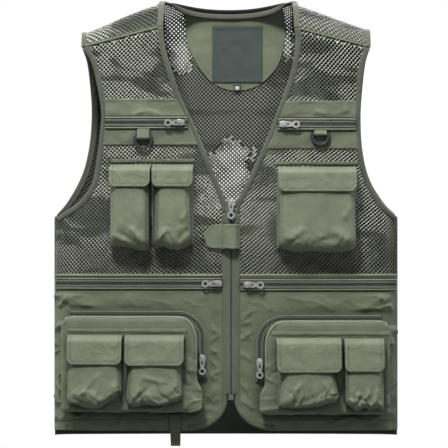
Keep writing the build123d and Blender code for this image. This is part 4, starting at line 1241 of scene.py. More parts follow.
# ------------------------------------------------------------------ fronts: woven parts
def front_lower(side):
    name = SIDE_NAME[side]
    lip = ZIP_X + side * 5.0

    def inner_edge(z):
        cut = (CORNER_WIDTH - 2) * round_corner((CORNER_Z - z) / CORNER_HEIGHT)
        return float(girth_of(lip + side * (2.0 + cut)))

    rows = np.r_[HEM_Z, HEM_Z + 0.35, HEM_Z + 1.0, HEM_Z + 2.0,
                 np.linspace(HEM_Z + 4, WAIST_Z - 1.0, 120), WAIST_Z]
    edges = (inner_edge, side * (HALF_GIRTH - 0.6))[::side]
    mesh = Mesh().sheet(front, rows, *edges, columns=130, thick=1.1, lift=0.1)
    hem_start = abs(girth_of(lip + side * CORNER_WIDTH)) + 6
    hem = level(side * hem_start, side * (HALF_GIRTH - 2), HEM_Z + 16.5, 120)
    mesh.tape(front, hem, width=1.3, thick=0.8, out=1.0)
    mesh.make(f"front_lower_cloth_{name}", LOWER_CLOTH, BODY[side], "woven",
              f"front_lower_panel_{name}")
    Mesh().stitches(front, hem, 1.9).make(f"hem_stitches_{name}", THREAD, BODY[side], "woven")


CHEST_BAND = {1: (-155.0, -231.5), -1: (-151.8, -225.5)}      # top and bottom z
# x0, z0, x1, z1, width, height
BAND_CREASES = {1: [(140, -172, 160, -176, 4.0, 1.3), (168, -178, 196, -170, 5.0, 1.4)],
                -1: [(-150, -178, -128, -171, 4.0, 1.6), (-128, -171, -104, -176, 4.0, 1.6)]}


def band_inner(z, side):
    return float(girth_of(v_edge_x[side](z) + side * 7.6))


def band_outer(z, side):
    return float(girth_of(arm_front_x[side](z) - side * 6.0))


def band_surface(side):
    top, bottom = CHEST_BAND[side]

    def surface(girth, z, out=0.0):
        from_zip = np.abs(z - ZIPS[side]["chest"])
        puff = 1.4 * fractal(girth, z, 26.0, 131 + side) * ease(from_zip, 9.5, 17)
        puff = puff + creases(x_of(girth), z, BAND_CREASES[side])
        puff = puff * ease(z, bottom, bottom + 7) * ease(z, top, top - 6)
        return front(girth, z, np.asarray(out) + 0.6 + np.maximum(puff, -0.8))
    return surface


def chest_band(side):
    """Woven panel across the net."""
    top, low = CHEST_BAND[side]
    rows = np.r_[low, low + 0.35, low + 1, low + 2.2, np.linspace(low + 4, top - 4, 46),
                 top - 2.2, top - 1, top - 0.35, top]
    edges = (lambda z: band_inner(z, side), lambda z: band_outer(z, side))[::side]
    Mesh().sheet(band_surface(side), rows, *edges, columns=80, thick=1.1, lift=0.4,
                 hem=0.25).make(f"chest_band_cloth_{SIDE_NAME[side]}", BAND_CLOTH, BODY[side],
                                "woven", f"chest_band_{SIDE_NAME[side]}")


class PocketZips:
    """The pocket zips of one front, gathered into one mesh for each kind of part."""

    def __init__(self):
        self.welts, self.tapes, self.coils, self.slits, self.thread = [Mesh() for _ in range(5)]

    def run(self, path, out, outer, scale=1.0):
        """Two raised welts, the tapes between them and the coil over a near-black strip, with thin near-black strips
        beside the welts: painted shade in the opening and the gaps.
        """
        for edge in (-1, 1):
            self.welts.tape(front, shift(path, edge * outer), 3.4 * scale, thick=1.6, out=out,
                            crown=0.9, step=3.5, pucker=0.25,
                            seed=int(7 + edge + abs(path[0][0])))
            self.tapes.tape(front, shift(path, edge * 3.9 * scale), 3.9 * scale, thick=0.55,
                            out=out + 1.2, crown=0.5)
            self.coils.coil(front, path, edge * 0.85 * scale, out + 1.45, radius=0.8 * scale)
            # thin dark strip beside each welt: painted shadow in the gap
            if scale == 1.0:
                self.slits.tape(front, shift(path, edge * (outer + 2.2)), width=0.8,
                                thick=0.35, out=out + 0.25)
            self.thread.stitches(front, shift(path, edge * (outer + 3.4 * scale)), out + 0.25)
        # dark strip under the whole zip: painted shade of the pocket opening, seen between coil and tapes
        self.slits.tape(front, path, 2 * outer - 3.0 * scale, thick=0.5, out=out + 0.5)

    def make(self, side):
        name, body = SIDE_NAME[side], BODY[side]
        self.welts.make(f"zip_welts_{name}", WELT_CLOTH, body, "woven")
        self.tapes.make(f"zip_tapes_{name}", ZIP_TAPE, body, "zip_tape", f"pocket_zips_{name}")
        self.coils.make(f"zip_coils_{name}", ZIP_COIL, body, "zip_tape")
        self.slits.make(f"zip_slits_{name}", ZIP_GAP_SHADE, body, "zip_tape")
        self.thread.make(f"panel_stitches_{name}", THREAD, body, "woven")


def pocket_zips(side):
    zips = PocketZips()
    top, low = CHEST_BAND[side]
    for z in (top - 2.2, low + 2.2, low + 5.0):
        start, end = sorted((band_inner(z, side), band_outer(z, side)))
        zips.thread.stitches(band_surface(side), [(start + 4, z), (end - 4, z)], 1.75)

    z = ZIPS[side]["chest"]
    ends = sorted((band_inner(z, side) + side * 0.5, band_outer(z, side) - side * 0.5))
    zips.run(level(*ends, z, 60), BAND_TOP - 0.4, outer=8.0)

    ends = girth_span(*((22.5, 269.5) if side > 0 else (-269.5, -6.5)))
    zips.run(level(*ends, ZIPS[side]["waist"], 90), BASE - 0.5, outer=7.6)
    # the seam that joins net and woven cloth, just above the waist zip
    start, end = sorted((side * (HALF_GIRTH - 2), float(girth_of(ZIP_X + side * 14))))
    zips.welts.tape(front, [(start, WAIST_Z - 1.0), (end, WAIST_Z - 1.0)], width=5.2, thick=1.3,
                    out=0.4, crown=0.4, pucker=0.3, seed=9)

    # cargo zip: level along the top, round a bend and down the inner side
    upright, top, outer_x, end_z = ZIPS[side]["cargo"]
    radius = 38.0
    angle = np.linspace(0, pi / 2, 20)
    bend = np.column_stack([upright + side * radius * (1 - np.sin(angle)),
                            top - radius * (1 - np.cos(angle))])
    hook = np.vstack([[(outer_x, top)], [(upright + side * radius, top)], bend,
                      [(upright, end_z - 24)]])
    zips.run(to_girth(even(hook, 3.0)), BASE - 0.5, outer=5.0, scale=0.64)
    zips.make(side)


# section of half the centre zip, (across, out) from its middle
MAIN_ZIP_SECTION = np.array([
    (0.55, 1.2), (0.6, 2.9), (1.3, 3.4), (2.5, 3.4), (3.2, 2.6), (4.6, 2.45), (8.2, 2.5),
    (8.9, 2.3), (9.0, 2.0), (5.2, 1.95), (4.6, 1.6), (2.0, 1.3), (0.7, 1.1)])
MAIN_ZIP_LOW = -622.0


def main_zip(side):
    name, body = SIDE_NAME[side], BODY[side]
    z = np.arange(MAIN_ZIP_LOW, (-326.0 if side > 0 else -314.0) + 0.1, 2.0)
    path = np.column_stack([np.full(len(z), float(girth_of(ZIP_X))), z])
    section = (MAIN_ZIP_SECTION * (side, 1.0))[::side]
    Mesh().sweep(*on(front_oval, path, 0.0), section).make(
        f"main_zip_tape_{name}", ZIP_TAPE, body, "zip_tape", f"main_zip_half_{name}")
    mesh = Mesh()
    # near-black strips at the middle, where the coil lies between the halves, and beside the tape: both painted shade
    # in the gaps
    for aside, out, width, thick in ((0.5, 0.9, 1.0, 1.0), (9.5, 1.2, 1.4, 0.9)):
        path = np.column_stack([np.full(40, float(girth_of(ZIP_X + side * aside))),
                                np.linspace(MAIN_ZIP_LOW, -330, 40)])
        mesh.sweep(*on(front_oval, path, out), tape_section(width, thick))
    mesh.make(f"main_zip_gap_shades_{name}", ZIP_GAP_SHADE, body, "zip_tape")


def lining_bags(side):
    """Lining bags behind the zips."""
    def chest(girth, z, out):
        return front(girth, z, out - 2.4)

    def hip(girth, z, out):
        return chest(girth, z, out + 0.5 * fractal(girth, z, 30, 5, 2))

    top, low = CHEST_BAND[side]
    mesh = Mesh().sheet(chest, np.linspace(low + 5, top - 5, 20),
                        *girth_span(side * 92, side * 190), columns=24, thick=0.8, lift=-0.2)
    mesh.sheet(hip, np.linspace(-646, -452, 40), *girth_span(side * 40, side * 240),
               columns=44, thick=0.8, lift=-0.4)
    mesh.make(f"lining_bags_{SIDE_NAME[side]}", LINING, BODY[side], "woven",
              f"pocket_bags_{SIDE_NAME[side]}")


# ------------------------------------------------------------------ pouches and flaps
class Plane:
    """A plane touching the front at x: across and up in it, out away from the body."""

    def __init__(self, x, z, out):
        angle = math.asin(x / BROAD_RADIUS)
        self.outward = np.array([math.sin(angle), -math.cos(angle), 0.0])
        self.across = np.array([math.cos(angle), math.sin(angle), 0.0])
        self.up = np.array([0, 0, 1.0])
        self.origin = np.array([0, ARC_Y, z]) + self.outward * (BROAD_RADIUS + out)

    def at(self, x, y, out):
        x, y, out = np.broadcast_arrays(np.asarray(x, float), np.asarray(y, float),
                                        np.asarray(out, float))
        return (self.origin + x[..., None] * self.across + y[..., None] * self.up
                + out[..., None] * self.outward)

    def local_x(self, x):
        return (x - self.origin[0]) / self.across[0]


MOUTH = 9.0                  # the pouch face starts this far below the flap's seam
FLAP_CORNER = 11.0           # radius of a flap's lower corners

# x, z: middle of the flap's seam; width, flap: width and length of the flap;
# bottom: z of the pouch's lower edge; front, angle: how far its face stands out at the
# mouth and how it leans out below; mouth_half, foot_half: half widths of the face;
# belly: rounding under the face; pleat: depth of the gusset fold; spread: how far the
# gusset's base lies inside the pouch; creases: x0, y0, x1, y1, width, height;
# tips: (ratio of foot_half, lift) along the lower edge.
CHEST_SHAPE = dict(front=15.0, pleat=5.0, sag=2.5, spread=-2.8, deep_folds=1.5, taper=0.0)
CHEST_POUCHES = [
    dict(CHEST_SHAPE, flap_name="chest_flap_right_outer", name="chest_pouch_right_outer",
         side=-1, replaced=("chest_pouches_right",),
         x=-151.3, z=-257.3, width=66.0, flap=40.0, bottom=-386.0, angle=5.5,
         mouth_half=28.0, foot_half=30.5, belly=19.0,
         creases=[(2, -98, 26, -122, 5.0, 3.0), (-16, -108, 24, -128, 5.0, -3.2),
                  (-30, -112, 10, -124, 5.0, 2.0)],
         tips=((-1, 0), (-0.3, 1), (0.5, -4), (1, -5))),
    dict(CHEST_SHAPE, flap_name="chest_flap_right_inner", name="chest_pouch_right_inner",
         side=-1, replaced=(),
         x=-84.2, z=-257.3, width=66.0, flap=40.0, bottom=-386.0, angle=5.5,
         mouth_half=24.5, foot_half=28.5, belly=19.0,
         creases=[(-26, -122, -8, -100, 5.0, 3.0), (28, -70, 14, -90, 4.0, 1.8),
                  (26, -104, 8, -116, 5.0, -2.6)],
         tips=((-1, -3), (-0.5, 0), (0.3, -3), (1, 3))),
    dict(CHEST_SHAPE, flap_name="chest_flap_left", name="chest_pouch_left_cloth",
         side=1, replaced=("chest_pouch_left",),
         x=143.5, z=-260.8, width=126.0, flap=44.0, bottom=-392.0, angle=6.0,
         mouth_half=57.5, foot_half=60.5, belly=20.0,
         creases=[(-52, -118, -20, -96, 6.0, 3.2), (50, -116, 22, -98, 6.0, 3.0),
                  (-10, -122, 30, -112, 6.0, -2.6), (54, -60, 40, -84, 5.0, 1.6)],
         tips=((-1, 2), (-0.6, -2), (0.2, 0), (0.7, -3), (1, 2))),
]
CHEST_POUCHES[2]["taper"] = 0.5
CARGO_SHAPE = dict(front=10.0, angle=6.0, belly=10.0, spread=1.0, deep_folds=2.4, taper=0.0)
CARGO_POUCHES = [
    dict(CARGO_SHAPE, flap_name="cargo_flap_right_outer", name="cargo_pouch_right_outer",
         side=-1, replaced=("cargo_pouches_right",),
         x=-207.6, z=-528.0, width=88.0, flap=52.0, bottom=-637.0,
         mouth_half=40.5, foot_half=43.0, pleat=3.2, sag=2.5,
         creases=[(-20, -86, 18, -104, 5.0, 2.6), (-36, -102, 0, -106, 5.0, -3.0),
                  (30, -78, 38, -104, 5, 2.4), (10, -60, -24, -96, 5, 1.6)],
         tips=((-1, 3), (-0.7, 2), (-0.1, -5), (0.1, -5), (0.55, 5), (1, 16))),
    dict(CARGO_SHAPE, flap_name="cargo_flap_right_inner", name="cargo_pouch_right_inner",
         side=-1, replaced=(),
         x=-112.5, z=-528.0, width=95.0, flap=53.5, bottom=-636.0,
         mouth_half=38.0, foot_half=43.5, pleat=3.2, sag=2.0,
         creases=[(-20, -66, 20, -76, 4.0, 2.0), (-34, -96, -20, -84, 5.0, 2.4),
                  (-10, -104, 30, -98, 5, -2.4), (36, -70, 30, -94, 4, 1.8)],
         tips=((-1, 3), (-0.85, -4), (-0.4, 0), (0.3, 1), (0.8, 4), (1, 9))),
    dict(CARGO_SHAPE, flap_name="cargo_flap_left_inner", name="cargo_pouch_left_inner",
         side=1, replaced=("cargo_pouches_left",),
         x=130.5, z=-532.5, width=104.0, flap=60.0, bottom=-641.0,
         mouth_half=36.0, foot_half=47.0, pleat=3.4, sag=1.5,
         creases=[(-34, -100, -10, -66, 4.0, 2.2), (-30, -104, 30, -92, 5.0, -2.4),
                  (40, -96, 22, -70, 4, 2.0), (0, -100, 44, -92, 5, 2.2)],
         tips=((-1, -1), (-0.4, 0), (0.2, 2), (0.75, 5), (1, 11))),
    dict(CARGO_SHAPE, flap_name="cargo_flap_left_outer", name="cargo_pouch_left_outer",
         side=1, replaced=(),
         x=218.5, z=-533.5, width=64.0, flap=58.0, bottom=-643.0,
         mouth_half=28.5, foot_half=30.0, pleat=3.2, sag=2.5,
         creases=[(-22, -104, -8, -84, 4.0, 2.6), (-4, -106, 8, -82, 4.0, 2.4),
                  (12, -104, 20, -80, 4, 2.4), (24, -104, 26, -70, 4, -2.0)],
         tips=((-1, 7), (-0.45, -3), (0.0, 4), (0.3, -1), (0.7, 2), (1, -2))),
]


class Pouch:
    """A bellows pouch: a face of its own shape, a folded gusset and a flap over the mouth."""

    def __init__(self, spec, plane, seed):
        self.__dict__.update(spec)
        self.plane, self.seed = plane, seed
        self.height = self.z - self.bottom
        self.top_y, self.bottom_y = -MOUTH, -self.height
        self.lean = math.radians(self.angle)
        self.pad_half = min(self.width * 0.5, 46) / 2

    def down(self, y):
        """0 at the mouth, 1 at the lower edge."""
        return np.clip((self.top_y - y) / (self.top_y - self.bottom_y), 0, 1)

    def half(self, y):
        return self.mouth_half + (self.foot_half - self.mouth_half) * self.down(y)

    def stand(self, x, y):
        """How far the face stands out from the plane."""
        down, half, seed = self.down(y), self.half(y), self.seed
        deep = self.front + (np.clip(-y, 0, self.height) - MOUTH) * math.tan(self.lean)
        under = np.clip((self.bottom_y + self.belly - y) / self.belly, 0, 1)
        deep = deep - self.belly * 0.95 * (1 - np.sqrt(np.clip(1 - under ** 2, 0, 1)))
        crown = 2.6 * (1 - np.clip(np.abs(x) / half, 0, 1) ** 2.5) * ease(down, 0.0, 0.25)
        rounded = -6.0 * np.clip((np.abs(x) - half + 8.5) / 8.5, 0, 1) ** 2
        wrinkles = (0.9 * fractal(x, y, 24.0, seed)
                    + self.deep_folds * bell(y, self.bottom_y + 10, 22.0)
                    * (folds(x, y, 13.0, 0.9, seed + 2, 2.4)
                       - folds(x, y, 15.0, -0.8, seed + 4, 2.4))
                    + creases(x, y, self.creases))
        edge = ease(half - np.abs(x), 0.0, 3.0)
        return deep + crown + rounded + wrinkles * (0.25 + 0.75 * edge) * ease(down, 0.0, 0.12)

    def drop(self, x, y):
        """The lower edge sags and lifts in soft folds."""
        tip_x, tip_y = np.array(self.tips, float).T
        tip = np.interp(x, tip_x * self.foot_half, tip_y) * bell(y, self.bottom_y, 24.0)
        sag = self.sag * (-1 + (np.abs(x) / self.foot_half) ** 2)
        return tip + bell(y, self.bottom_y, 16.0) \
            * (sag + 1.6 * fractal(x, 0.0, 16.0, self.seed + 6, 2))

    def face(self, x, y, out=0.0):
        return self.plane.at(x, y + self.drop(x, y), self.stand(x, y) + out)

    def gusset(self, mesh):
        """Folded cloth from the face's edge back to the vest, with a cord along the edge."""
        rows, columns, seed = 56, 50, self.seed
        down = np.linspace(self.top_y, self.bottom_y, rows)
        base_half = (self.width - 5.0) / 2 - self.spread

        def outline(half, half_foot, foot_y):
            """Left side, bottom, right side."""
            foot = np.linspace(-half_foot, half_foot, columns + 2)[1:-1]
            return np.vstack([np.column_stack([-half, down]),
                              np.column_stack([foot, np.full(columns, foot_y)]),
                              np.column_stack([half[::-1], down[::-1]])])

        edge = outline(self.half(down), self.foot_half, self.bottom_y)
        base = outline(np.full(rows, base_half), base_half, self.bottom_y + 3.0)
        count = len(edge)
        edge_out = self.stand(*edge.T)
        edge[:, 1] += self.drop(*edge.T)
        inward = np.zeros_like(edge)
        inward[:rows, 0], inward[-rows:, 0], inward[rows:-rows, 1] = 1.0, -1.0, 1.0
        t = np.linspace(0, 1, 12)[:, None]
        place = np.arange(count)
        along = place * 2.0
        depth = self.pleat * (0.75 + 0.5 * fractal(along, 0.0, 18.0, seed + 11, 2))
        depth = depth * ease(place, 0, 4) * ease(count - 1 - place, 0, 4)
        fold = np.sin(pi * t) ** 0.8 * (1 - 0.55 * np.sin(2 * pi * t) ** 2)
        ripple = 1.3 * fractal(along[None], t * 30, 9.0, seed + 13) * np.sin(pi * t)
        push = fold * depth[None] + ripple
        x, y = [base[:, i] * (1 - t) + edge[:, i] * t + inward[:, i] * push for i in (0, 1)]
        out = (edge_out[None] - 0.7) * t
        thick = 0.9
        outer = self.plane.at(x, y, out)
        inner = self.plane.at(x + inward[:, 0] * thick, y + inward[:, 1] * thick, out)
        index = np.arange(x.size).reshape(x.shape)
        walls = grid_quads(index)
        faces = [walls, walls[:, ::-1] + x.size]
        for rim in (index[0], index[-1][::-1], index[:, -1], index[:, 0][::-1]):
            faces.append(quads(rim[1:], rim[:-1], rim[:-1] + x.size, rim[1:] + x.size))
        mesh.add(np.stack([outer, inner]), np.vstack(faces).tolist())
        path = self.plane.at(*(edge - inward * 0.1).T, edge_out - 0.35)
        mesh.sweep(path, np.tile(self.plane.outward, (count, 1)), round_section(0.95, 7))

    def make_bag(self, thread):
        top, low, belly = self.top_y, self.bottom_y, self.belly
        rows = np.r_[low + belly * (1 - np.cos(np.linspace(0, pi / 2, 16))),
                     np.linspace(low + belly, top - 2.2, 44)[1:], top - 1.0, top - 0.35, top]
        mesh = Mesh().sheet(self.face, rows, lambda y: -self.half(y), self.half, columns=52,
                            thick=1.2, lift=-0.6)
        self.gusset(mesh)
        mesh.make(self.name, POCKET_CLOTH, BODY[self.side], "pocket", *self.replaced)
        y = np.linspace(top - 3, low + belly, 60)
        for edge in (-1, 1):
            thread.stitches(self.face, np.column_stack([edge * (self.half(y) - 2.4), y]), 0.75)
        mouth = self.mouth_half - 3
        thread.stitches(self.face, level(-mouth, mouth, top - 2.0, 30), 0.75)

    def add_loop_pad(self, pads):
        middle = -self.flap * 0.5
        pads.sheet(self.face, np.linspace(middle - 16, middle - 3, 8), -self.pad_half,
                   self.pad_half, columns=12, thick=0.6, lift=0.05)

    def flap_line(self):
        """(out, up) from the seam, sloping out over the pouch, then down its face."""
        sine = math.sin(self.lean)
        out, up = self.front + 3.4, -MOUTH + 1.0
        leg = self.flap - MOUTH - 4
        points = [(0.9, -0.4), (0.55 * out, up + 4.6), (out - 1.0, up + 0.5),
                  (out + 0.4 + 4 * sine, up - 5.0)]
        points += [(out + 0.5 + leg * part * sine, up - 5.0 - (leg - 5) * part)
                   for part in (0.35, 0.7, 1.0)]
        return curve(points, 80)

    def make_flap(self, seed):
        name, half_width, radius = self.flap_name, self.width / 2, FLAP_CORNER
        line = self.flap_line()
        distance = lengths(line)
        total = distance[-1]
        heading = directions(line)

        def surface(x, y, out=0.0):
            """y runs from 0 at the seam to -total along the flap."""
            x, y, out = np.broadcast_arrays(x, y, out)
            run = -y
            line_out, line_y, heading_out, heading_y = [
                np.interp(run, distance, a) for a in (*line.T, *heading.T)]
            rim = np.minimum(half_width - np.abs(x), total - run)
            sag = -1.1 * (np.abs(x) / half_width) ** 4 * ease(run, 6, 18)
            wrinkles = (0.75 * fractal(x, run, 17.0, seed)
                        + 0.5 * folds(x, run, 10.0, 1.2, seed + 3, 2.2))
            pucker = 0.55 * fractal(x, run, 5.0, seed + 8, 2) * bell(rim, 4.5, 4.0)
            lift = out + (wrinkles * ease(rim, 1, 9) + pucker + sag) * ease(run, 0.5, 6)
            return self.plane.at(x, line_y + heading_out * lift, line_out - heading_y * lift)

        def half(y):
            return (half_width - radius * round_corner(1 - (y + total) / radius)
                    - self.taper * max(0.0, min(1.0, -y / total)))

        rows = np.r_[(-total + radius * (1 - np.cos(np.linspace(0, pi / 2, 10))))[:-1],
                     np.linspace(-total + radius, -2.2, 34), -1.0, -0.35, 0.0]
        Mesh().sheet(surface, rows, lambda y: -half(y), half, columns=56, thick=1.5,
                     hem=0.35).make(f"{name}_cloth", FLAP_CLOTH, name, "pocket", name)
        thread = Mesh()
        angle = np.linspace(0, pi / 2, 10)
        for inset in (1.7, 5.4):
            bend = max(radius - inset, 2.0)
            edge = half_width - inset
            corner = np.column_stack([edge - bend + bend * np.cos(angle),
                                      -total + inset + bend - bend * np.sin(angle)])
            path = np.vstack([[(edge, -3.0)], corner, (corner * [-1, 1])[::-1],
                              [(-edge, -3.0)]])
            thread.stitches(surface, even(path, 1.5), 1.75)
        thread.make(f"{name}_stitches", THREAD, name, "pocket")
        # hook pad on the back of the flap
        Mesh().sheet(surface, np.linspace(-total * 0.78, -total * 0.5, 8), -self.pad_half,
                     self.pad_half, columns=12, thick=0.7, lift=-0.75, turned=True).make(
            f"{name}_hook_pad", HOOK_LOOP, name, "hook_loop")


pouch_thread = {side: Mesh() for side in SIDES}
loop_pads = {side: Mesh() for side in SIDES}


def make_pouch(spec, plane, bag_seed, flap_seed):
    pouch = Pouch(spec, plane, bag_seed)
    pouch.make_bag(pouch_thread[pouch.side])
    pouch.add_loop_pad(loop_pads[pouch.side])
    pouch.make_flap(flap_seed)


# shared by the strips above the chest and cargo flaps
HEADER_TAPE = dict(thick=1.0, crown=0.3, step=2.5, pucker=0.6)


def chest_headers():
    """Strips above the chest flaps."""
    for side, x_start, x_end, z in ((1, 78.0, 209.0, -254.6), (-1, -182.5, -50.0, -251.0)):
        path = level(*girth_span(x_start, x_end), z, 2)
        Mesh().tape(front, path, width=6.6, out=0.9, seed=41 + side, **HEADER_TAPE).make(
            f"chest_header_{SIDE_NAME[side]}", BAND_CLOTH, BODY[side], "pocket")
        for rise in (0.2, 2.6):
            pouch_thread[side].stitches(front, path + np.array([0, rise]), 2.0)


# ------------------------------------------------------------------ the big zipped pockets
CARGO_BOX = {1: (63.5, -512.5, 258.5, -652.0),      # inner x, top z, outer x, bottom z
             -1: (-47.5, -505.5, -259.5, -648.0)}
CARGO_HEADER = {1: (73.0, 256.0, -527.8), -1: (-249.0, -62.0, -522.4)}    # x ends, z
CARGO_DEPTH = 22.0
INNER_CORNER, OUTER_CORNER, LOW_CORNER = 28.0, 16.0, 9.0


def cargo_plane(side, out):
    inner_x, top, outer_x, _ = CARGO_BOX[side]
    return Plane((inner_x + outer_x) / 2, top, out)


class CargoPocket:
    def __init__(self, side):
        inner_x, self.top, outer_x, bottom = CARGO_BOX[side]
        self.side = side
        self.inner = -side   # sign of local x towards the middle of the vest
        self.plane = cargo_plane(side, BASE)
        self.half = abs(outer_x - inner_x) / 2
        self.height = self.top - bottom
        self.seed = 400 + 10 * side

    def radius(self, end):
        return INNER_CORNER if end == self.inner else OUTER_CORNER

    def edge_x(self, y, end):
        """Local x of the outline at height y; end is -1 or 1."""
        radius = self.radius(end)
        low = (LOW_CORNER - self.height - y) / LOW_CORNER
        cut = max(radius * round_corner((y + radius) / radius), LOW_CORNER * round_corner(low))
        return end * (self.half - cut)

    def stand(self, x, y):
        seed, side, half = self.seed, self.side, self.half
        out = CARGO_DEPTH - 2.0 + 3.0 * ease(-y, 0, 60) * (1 - (np.abs(x) / half) ** 3)
        out = out + 2.2 * bell(y, 6 - self.height, 14.0) * (folds(x, y, 17.0, 0.2, seed, 3.0)
                                                            - 0.5)
        near_zip = ease(self.inner * x, half - 42, half - 10)
        out = out + near_zip * (2.2 * folds(x, y, 15.0, -0.7 * side, seed + 3, 3.2)
                                - 1.6 * folds(x, y, 17.0, 0.5 * side, seed + 5, 3.2)) \
            * ease(-y, 34, 70)
        out = out + 1.0 * folds(x, y, 14.0, 1.2 * side, seed + 7, 2.2) \
            * ease(-self.inner * x, half - 24, half - 6)
        out = out + 0.8 * fractal(x, y, 24.0, seed + 9)
        rim = np.minimum(np.minimum(half - np.abs(x), -y), self.height + y)
        return out - 2.6 * np.clip(1 - rim / 6.0, 0, 1) ** 2

    def bulge(self, x, y):
        """Below the end of the zip the pocket spreads towards the centre."""
        return 8.0 * ease(self.inner * x, self.half - 16, self.half) * ease(-y, 92, 112) \
            * (1 - 0.5 * ease(-y, 138, 152))

    def face(self, x, y, out=0.0):
        lift = bell(y, -self.height, 12.0) * (1.8 * fractal(x, 0.0, 22.0, self.seed + 12, 2)
                                              - 1.0)
        lift = lift + 6.5 * (1 - ease(-y, 0, 26))
        reach = 3.6 * ease(self.inner * x, self.half - 40, self.half) + self.bulge(x, y)
        return self.plane.at(x + self.inner * reach, y + lift, self.stand(x, y) + out)

    def outline(self):
        """Once round the pocket, and the directions inward from it."""
        half, height, low = self.half, self.height, LOW_CORNER
        left, right = self.radius(-1), self.radius(1)
        corners = [  # centre x, centre y, radius, start and end in quarter turns, points
            (-half + left, -left, left, 1, 2, 14), (-half + low, -height + low, low, 2, 3, 8),
            (half - low, -height + low, low, 3, 4, 8), (half - right, -right, right, 0, 1, 14)]
        arcs = []
        for x, y, radius, start, end, count in corners:
            angle = np.linspace(start * pi / 2, end * pi / 2, count)
            arcs.append(np.column_stack([x + radius * np.cos(angle),
                                         y + radius * np.sin(angle)]))
        loop = even(np.vstack(arcs + [arcs[0][:1]]), 2.5)[:-1]
        heading = unit(np.roll(loop, -1, 0) - np.roll(loop, 1, 0))
        return loop, np.column_stack([-heading[:, 1], heading[:, 0]])

    def gusset(self, mesh, loop, inward):
        x, y = loop.T
        edge = self.face(x, y, -0.6)
        # the base sits on the curved front
        foot = self.plane.at(x + self.inner * 1.2 * self.bulge(x, y), y, 0.0)
        limit = HALF_GIRTH - 2
        base = front(np.clip(girth_of(foot[:, 0]), -limit, limit), foot[:, 2], BASE)
        t = np.linspace(0, 1, 12)[:, None, None]
        along = np.arange(len(loop)) * 2.5
        depth = 3.4 * (0.6 + 0.8 * fractal(along, 0.0, 30.0, self.seed + 21, 2)) \
            * (1 - 0.8 * ease(y, -14, -2))
        inward = inward[:, :1] * self.plane.across + inward[:, 1:] * self.plane.up
        fold = np.sin(pi * t) ** 0.8 * (1 - 0.5 * np.sin(2 * pi * t) ** 2)
        ripple = 1.4 * fractal(along[None], t[..., 0] * 30, 11.0, self.seed + 23)[..., None] \
            * np.sin(pi * t)
        outer = base * (1 - t) + edge * t + inward * (fold * depth[None, :, None] + ripple)
        index = np.arange(outer[..., 0].size).reshape(outer.shape[:2])
        size = index.size
        following = np.roll(index, -1, 1)
        walls = ring_quads(index)
        faces = [walls, walls[:, ::-1] + size,
                 quads(following[0], index[0], index[0] + size, following[0] + size),
                 quads(index[-1], following[-1], following[-1] + size, index[-1] + size)]
        mesh.add(np.stack([outer, outer + inward * 0.9]), np.vstack(faces).tolist())
        path = np.vstack([edge, edge[:1]])
        mesh.sweep(path, np.tile(self.plane.outward, (len(path), 1)), round_section(1.2, 8))

    def make_cloth(self):
        height, inner, low = self.height, INNER_CORNER, LOW_CORNER
        rows = np.r_[-height + low * (1 - np.cos(np.linspace(0, pi / 2, 8))),
                     np.linspace(-height + low, -inner, 64)[1:],
                     -inner + inner * np.sin(np.linspace(0, pi / 2, 18))[1:]]
        mesh = Mesh().sheet(self.face, rows, lambda y: self.edge_x(y, -1),
                            lambda y: self.edge_x(y, 1), columns=90, thick=1.2, lift=-0.6)
        loop, inward = self.outline()
        self.gusset(mesh, loop, inward)
        name = SIDE_NAME[self.side]
        mesh.make(f"cargo_pocket_cloth_{name}", POCKET_CLOTH, BODY[self.side], "pocket",
                  f"cargo_pocket_{name}")
        hem = loop + inward * 3.2
        pouch_thread[self.side].stitches(self.face, np.vstack([hem, hem[:1]]), 0.7)

    def make_piping(self):
        """Piping along the zipped edge, over the top and down the inner side, coloured lighter as a painted highlight.
        """
        half, inner, outer = self.half, INNER_CORNER, OUTER_CORNER
        points = [  # distance from the middle, positive towards the inner side; y
            (-(half - 1.5), -34.0), (-(half - 0.5), -outer),
            (-(half - outer * 0.35), -outer * 0.35), (-(half - outer), -0.6), (0, -0.5),
            (half - inner, -0.6), (half - inner * 0.32, -inner * 0.32), (half - 0.8, -inner),
            (half - 1.0, -72.0)]
        run = curve([(self.inner * x, y) for x, y in points], 150)
        path = self.face(run[:, 0], run[:, 1], 0.2)
        fade = np.sin(np.linspace(0.02, 0.98, len(path)) * pi) ** 0.25
        Mesh().sweep(path, np.tile(self.plane.outward, (len(path), 1)),
                     round_section(1.5, 8) * fade[:, None, None]).make(
            f"cargo_piping_{SIDE_NAME[self.side]}", LIT_PIPING, BODY[self.side], "pocket")

    def make_header(self):
        """Strip above the two flaps."""
        start, end, z = CARGO_HEADER[self.side]
        path = level(self.plane.local_x(start), self.plane.local_x(end), z - self.top, 2)
        Mesh().tape(self.face, path, width=8.0, out=0.2, seed=51 + self.side,
                    **HEADER_TAPE).make(
            f"cargo_header_{SIDE_NAME[self.side]}", FLAP_CLOTH, BODY[self.side], "pocket")
        for rise in (-0.4, 2.8):
            pouch_thread[self.side].stitches(self.face, path + np.array([0, rise]), 1.3)


def cargo_pouch_plane(spec):
    """The plane of the cargo pocket's face, moved to the pouch."""
    plane = cargo_plane(spec["side"], BASE + CARGO_DEPTH + 0.1)
    top = CARGO_BOX[spec["side"]][1]
    plane.origin = (plane.origin + plane.across * plane.local_x(spec["x"])
                    + np.array([0, 0, spec["z"] - top]))
    return plane


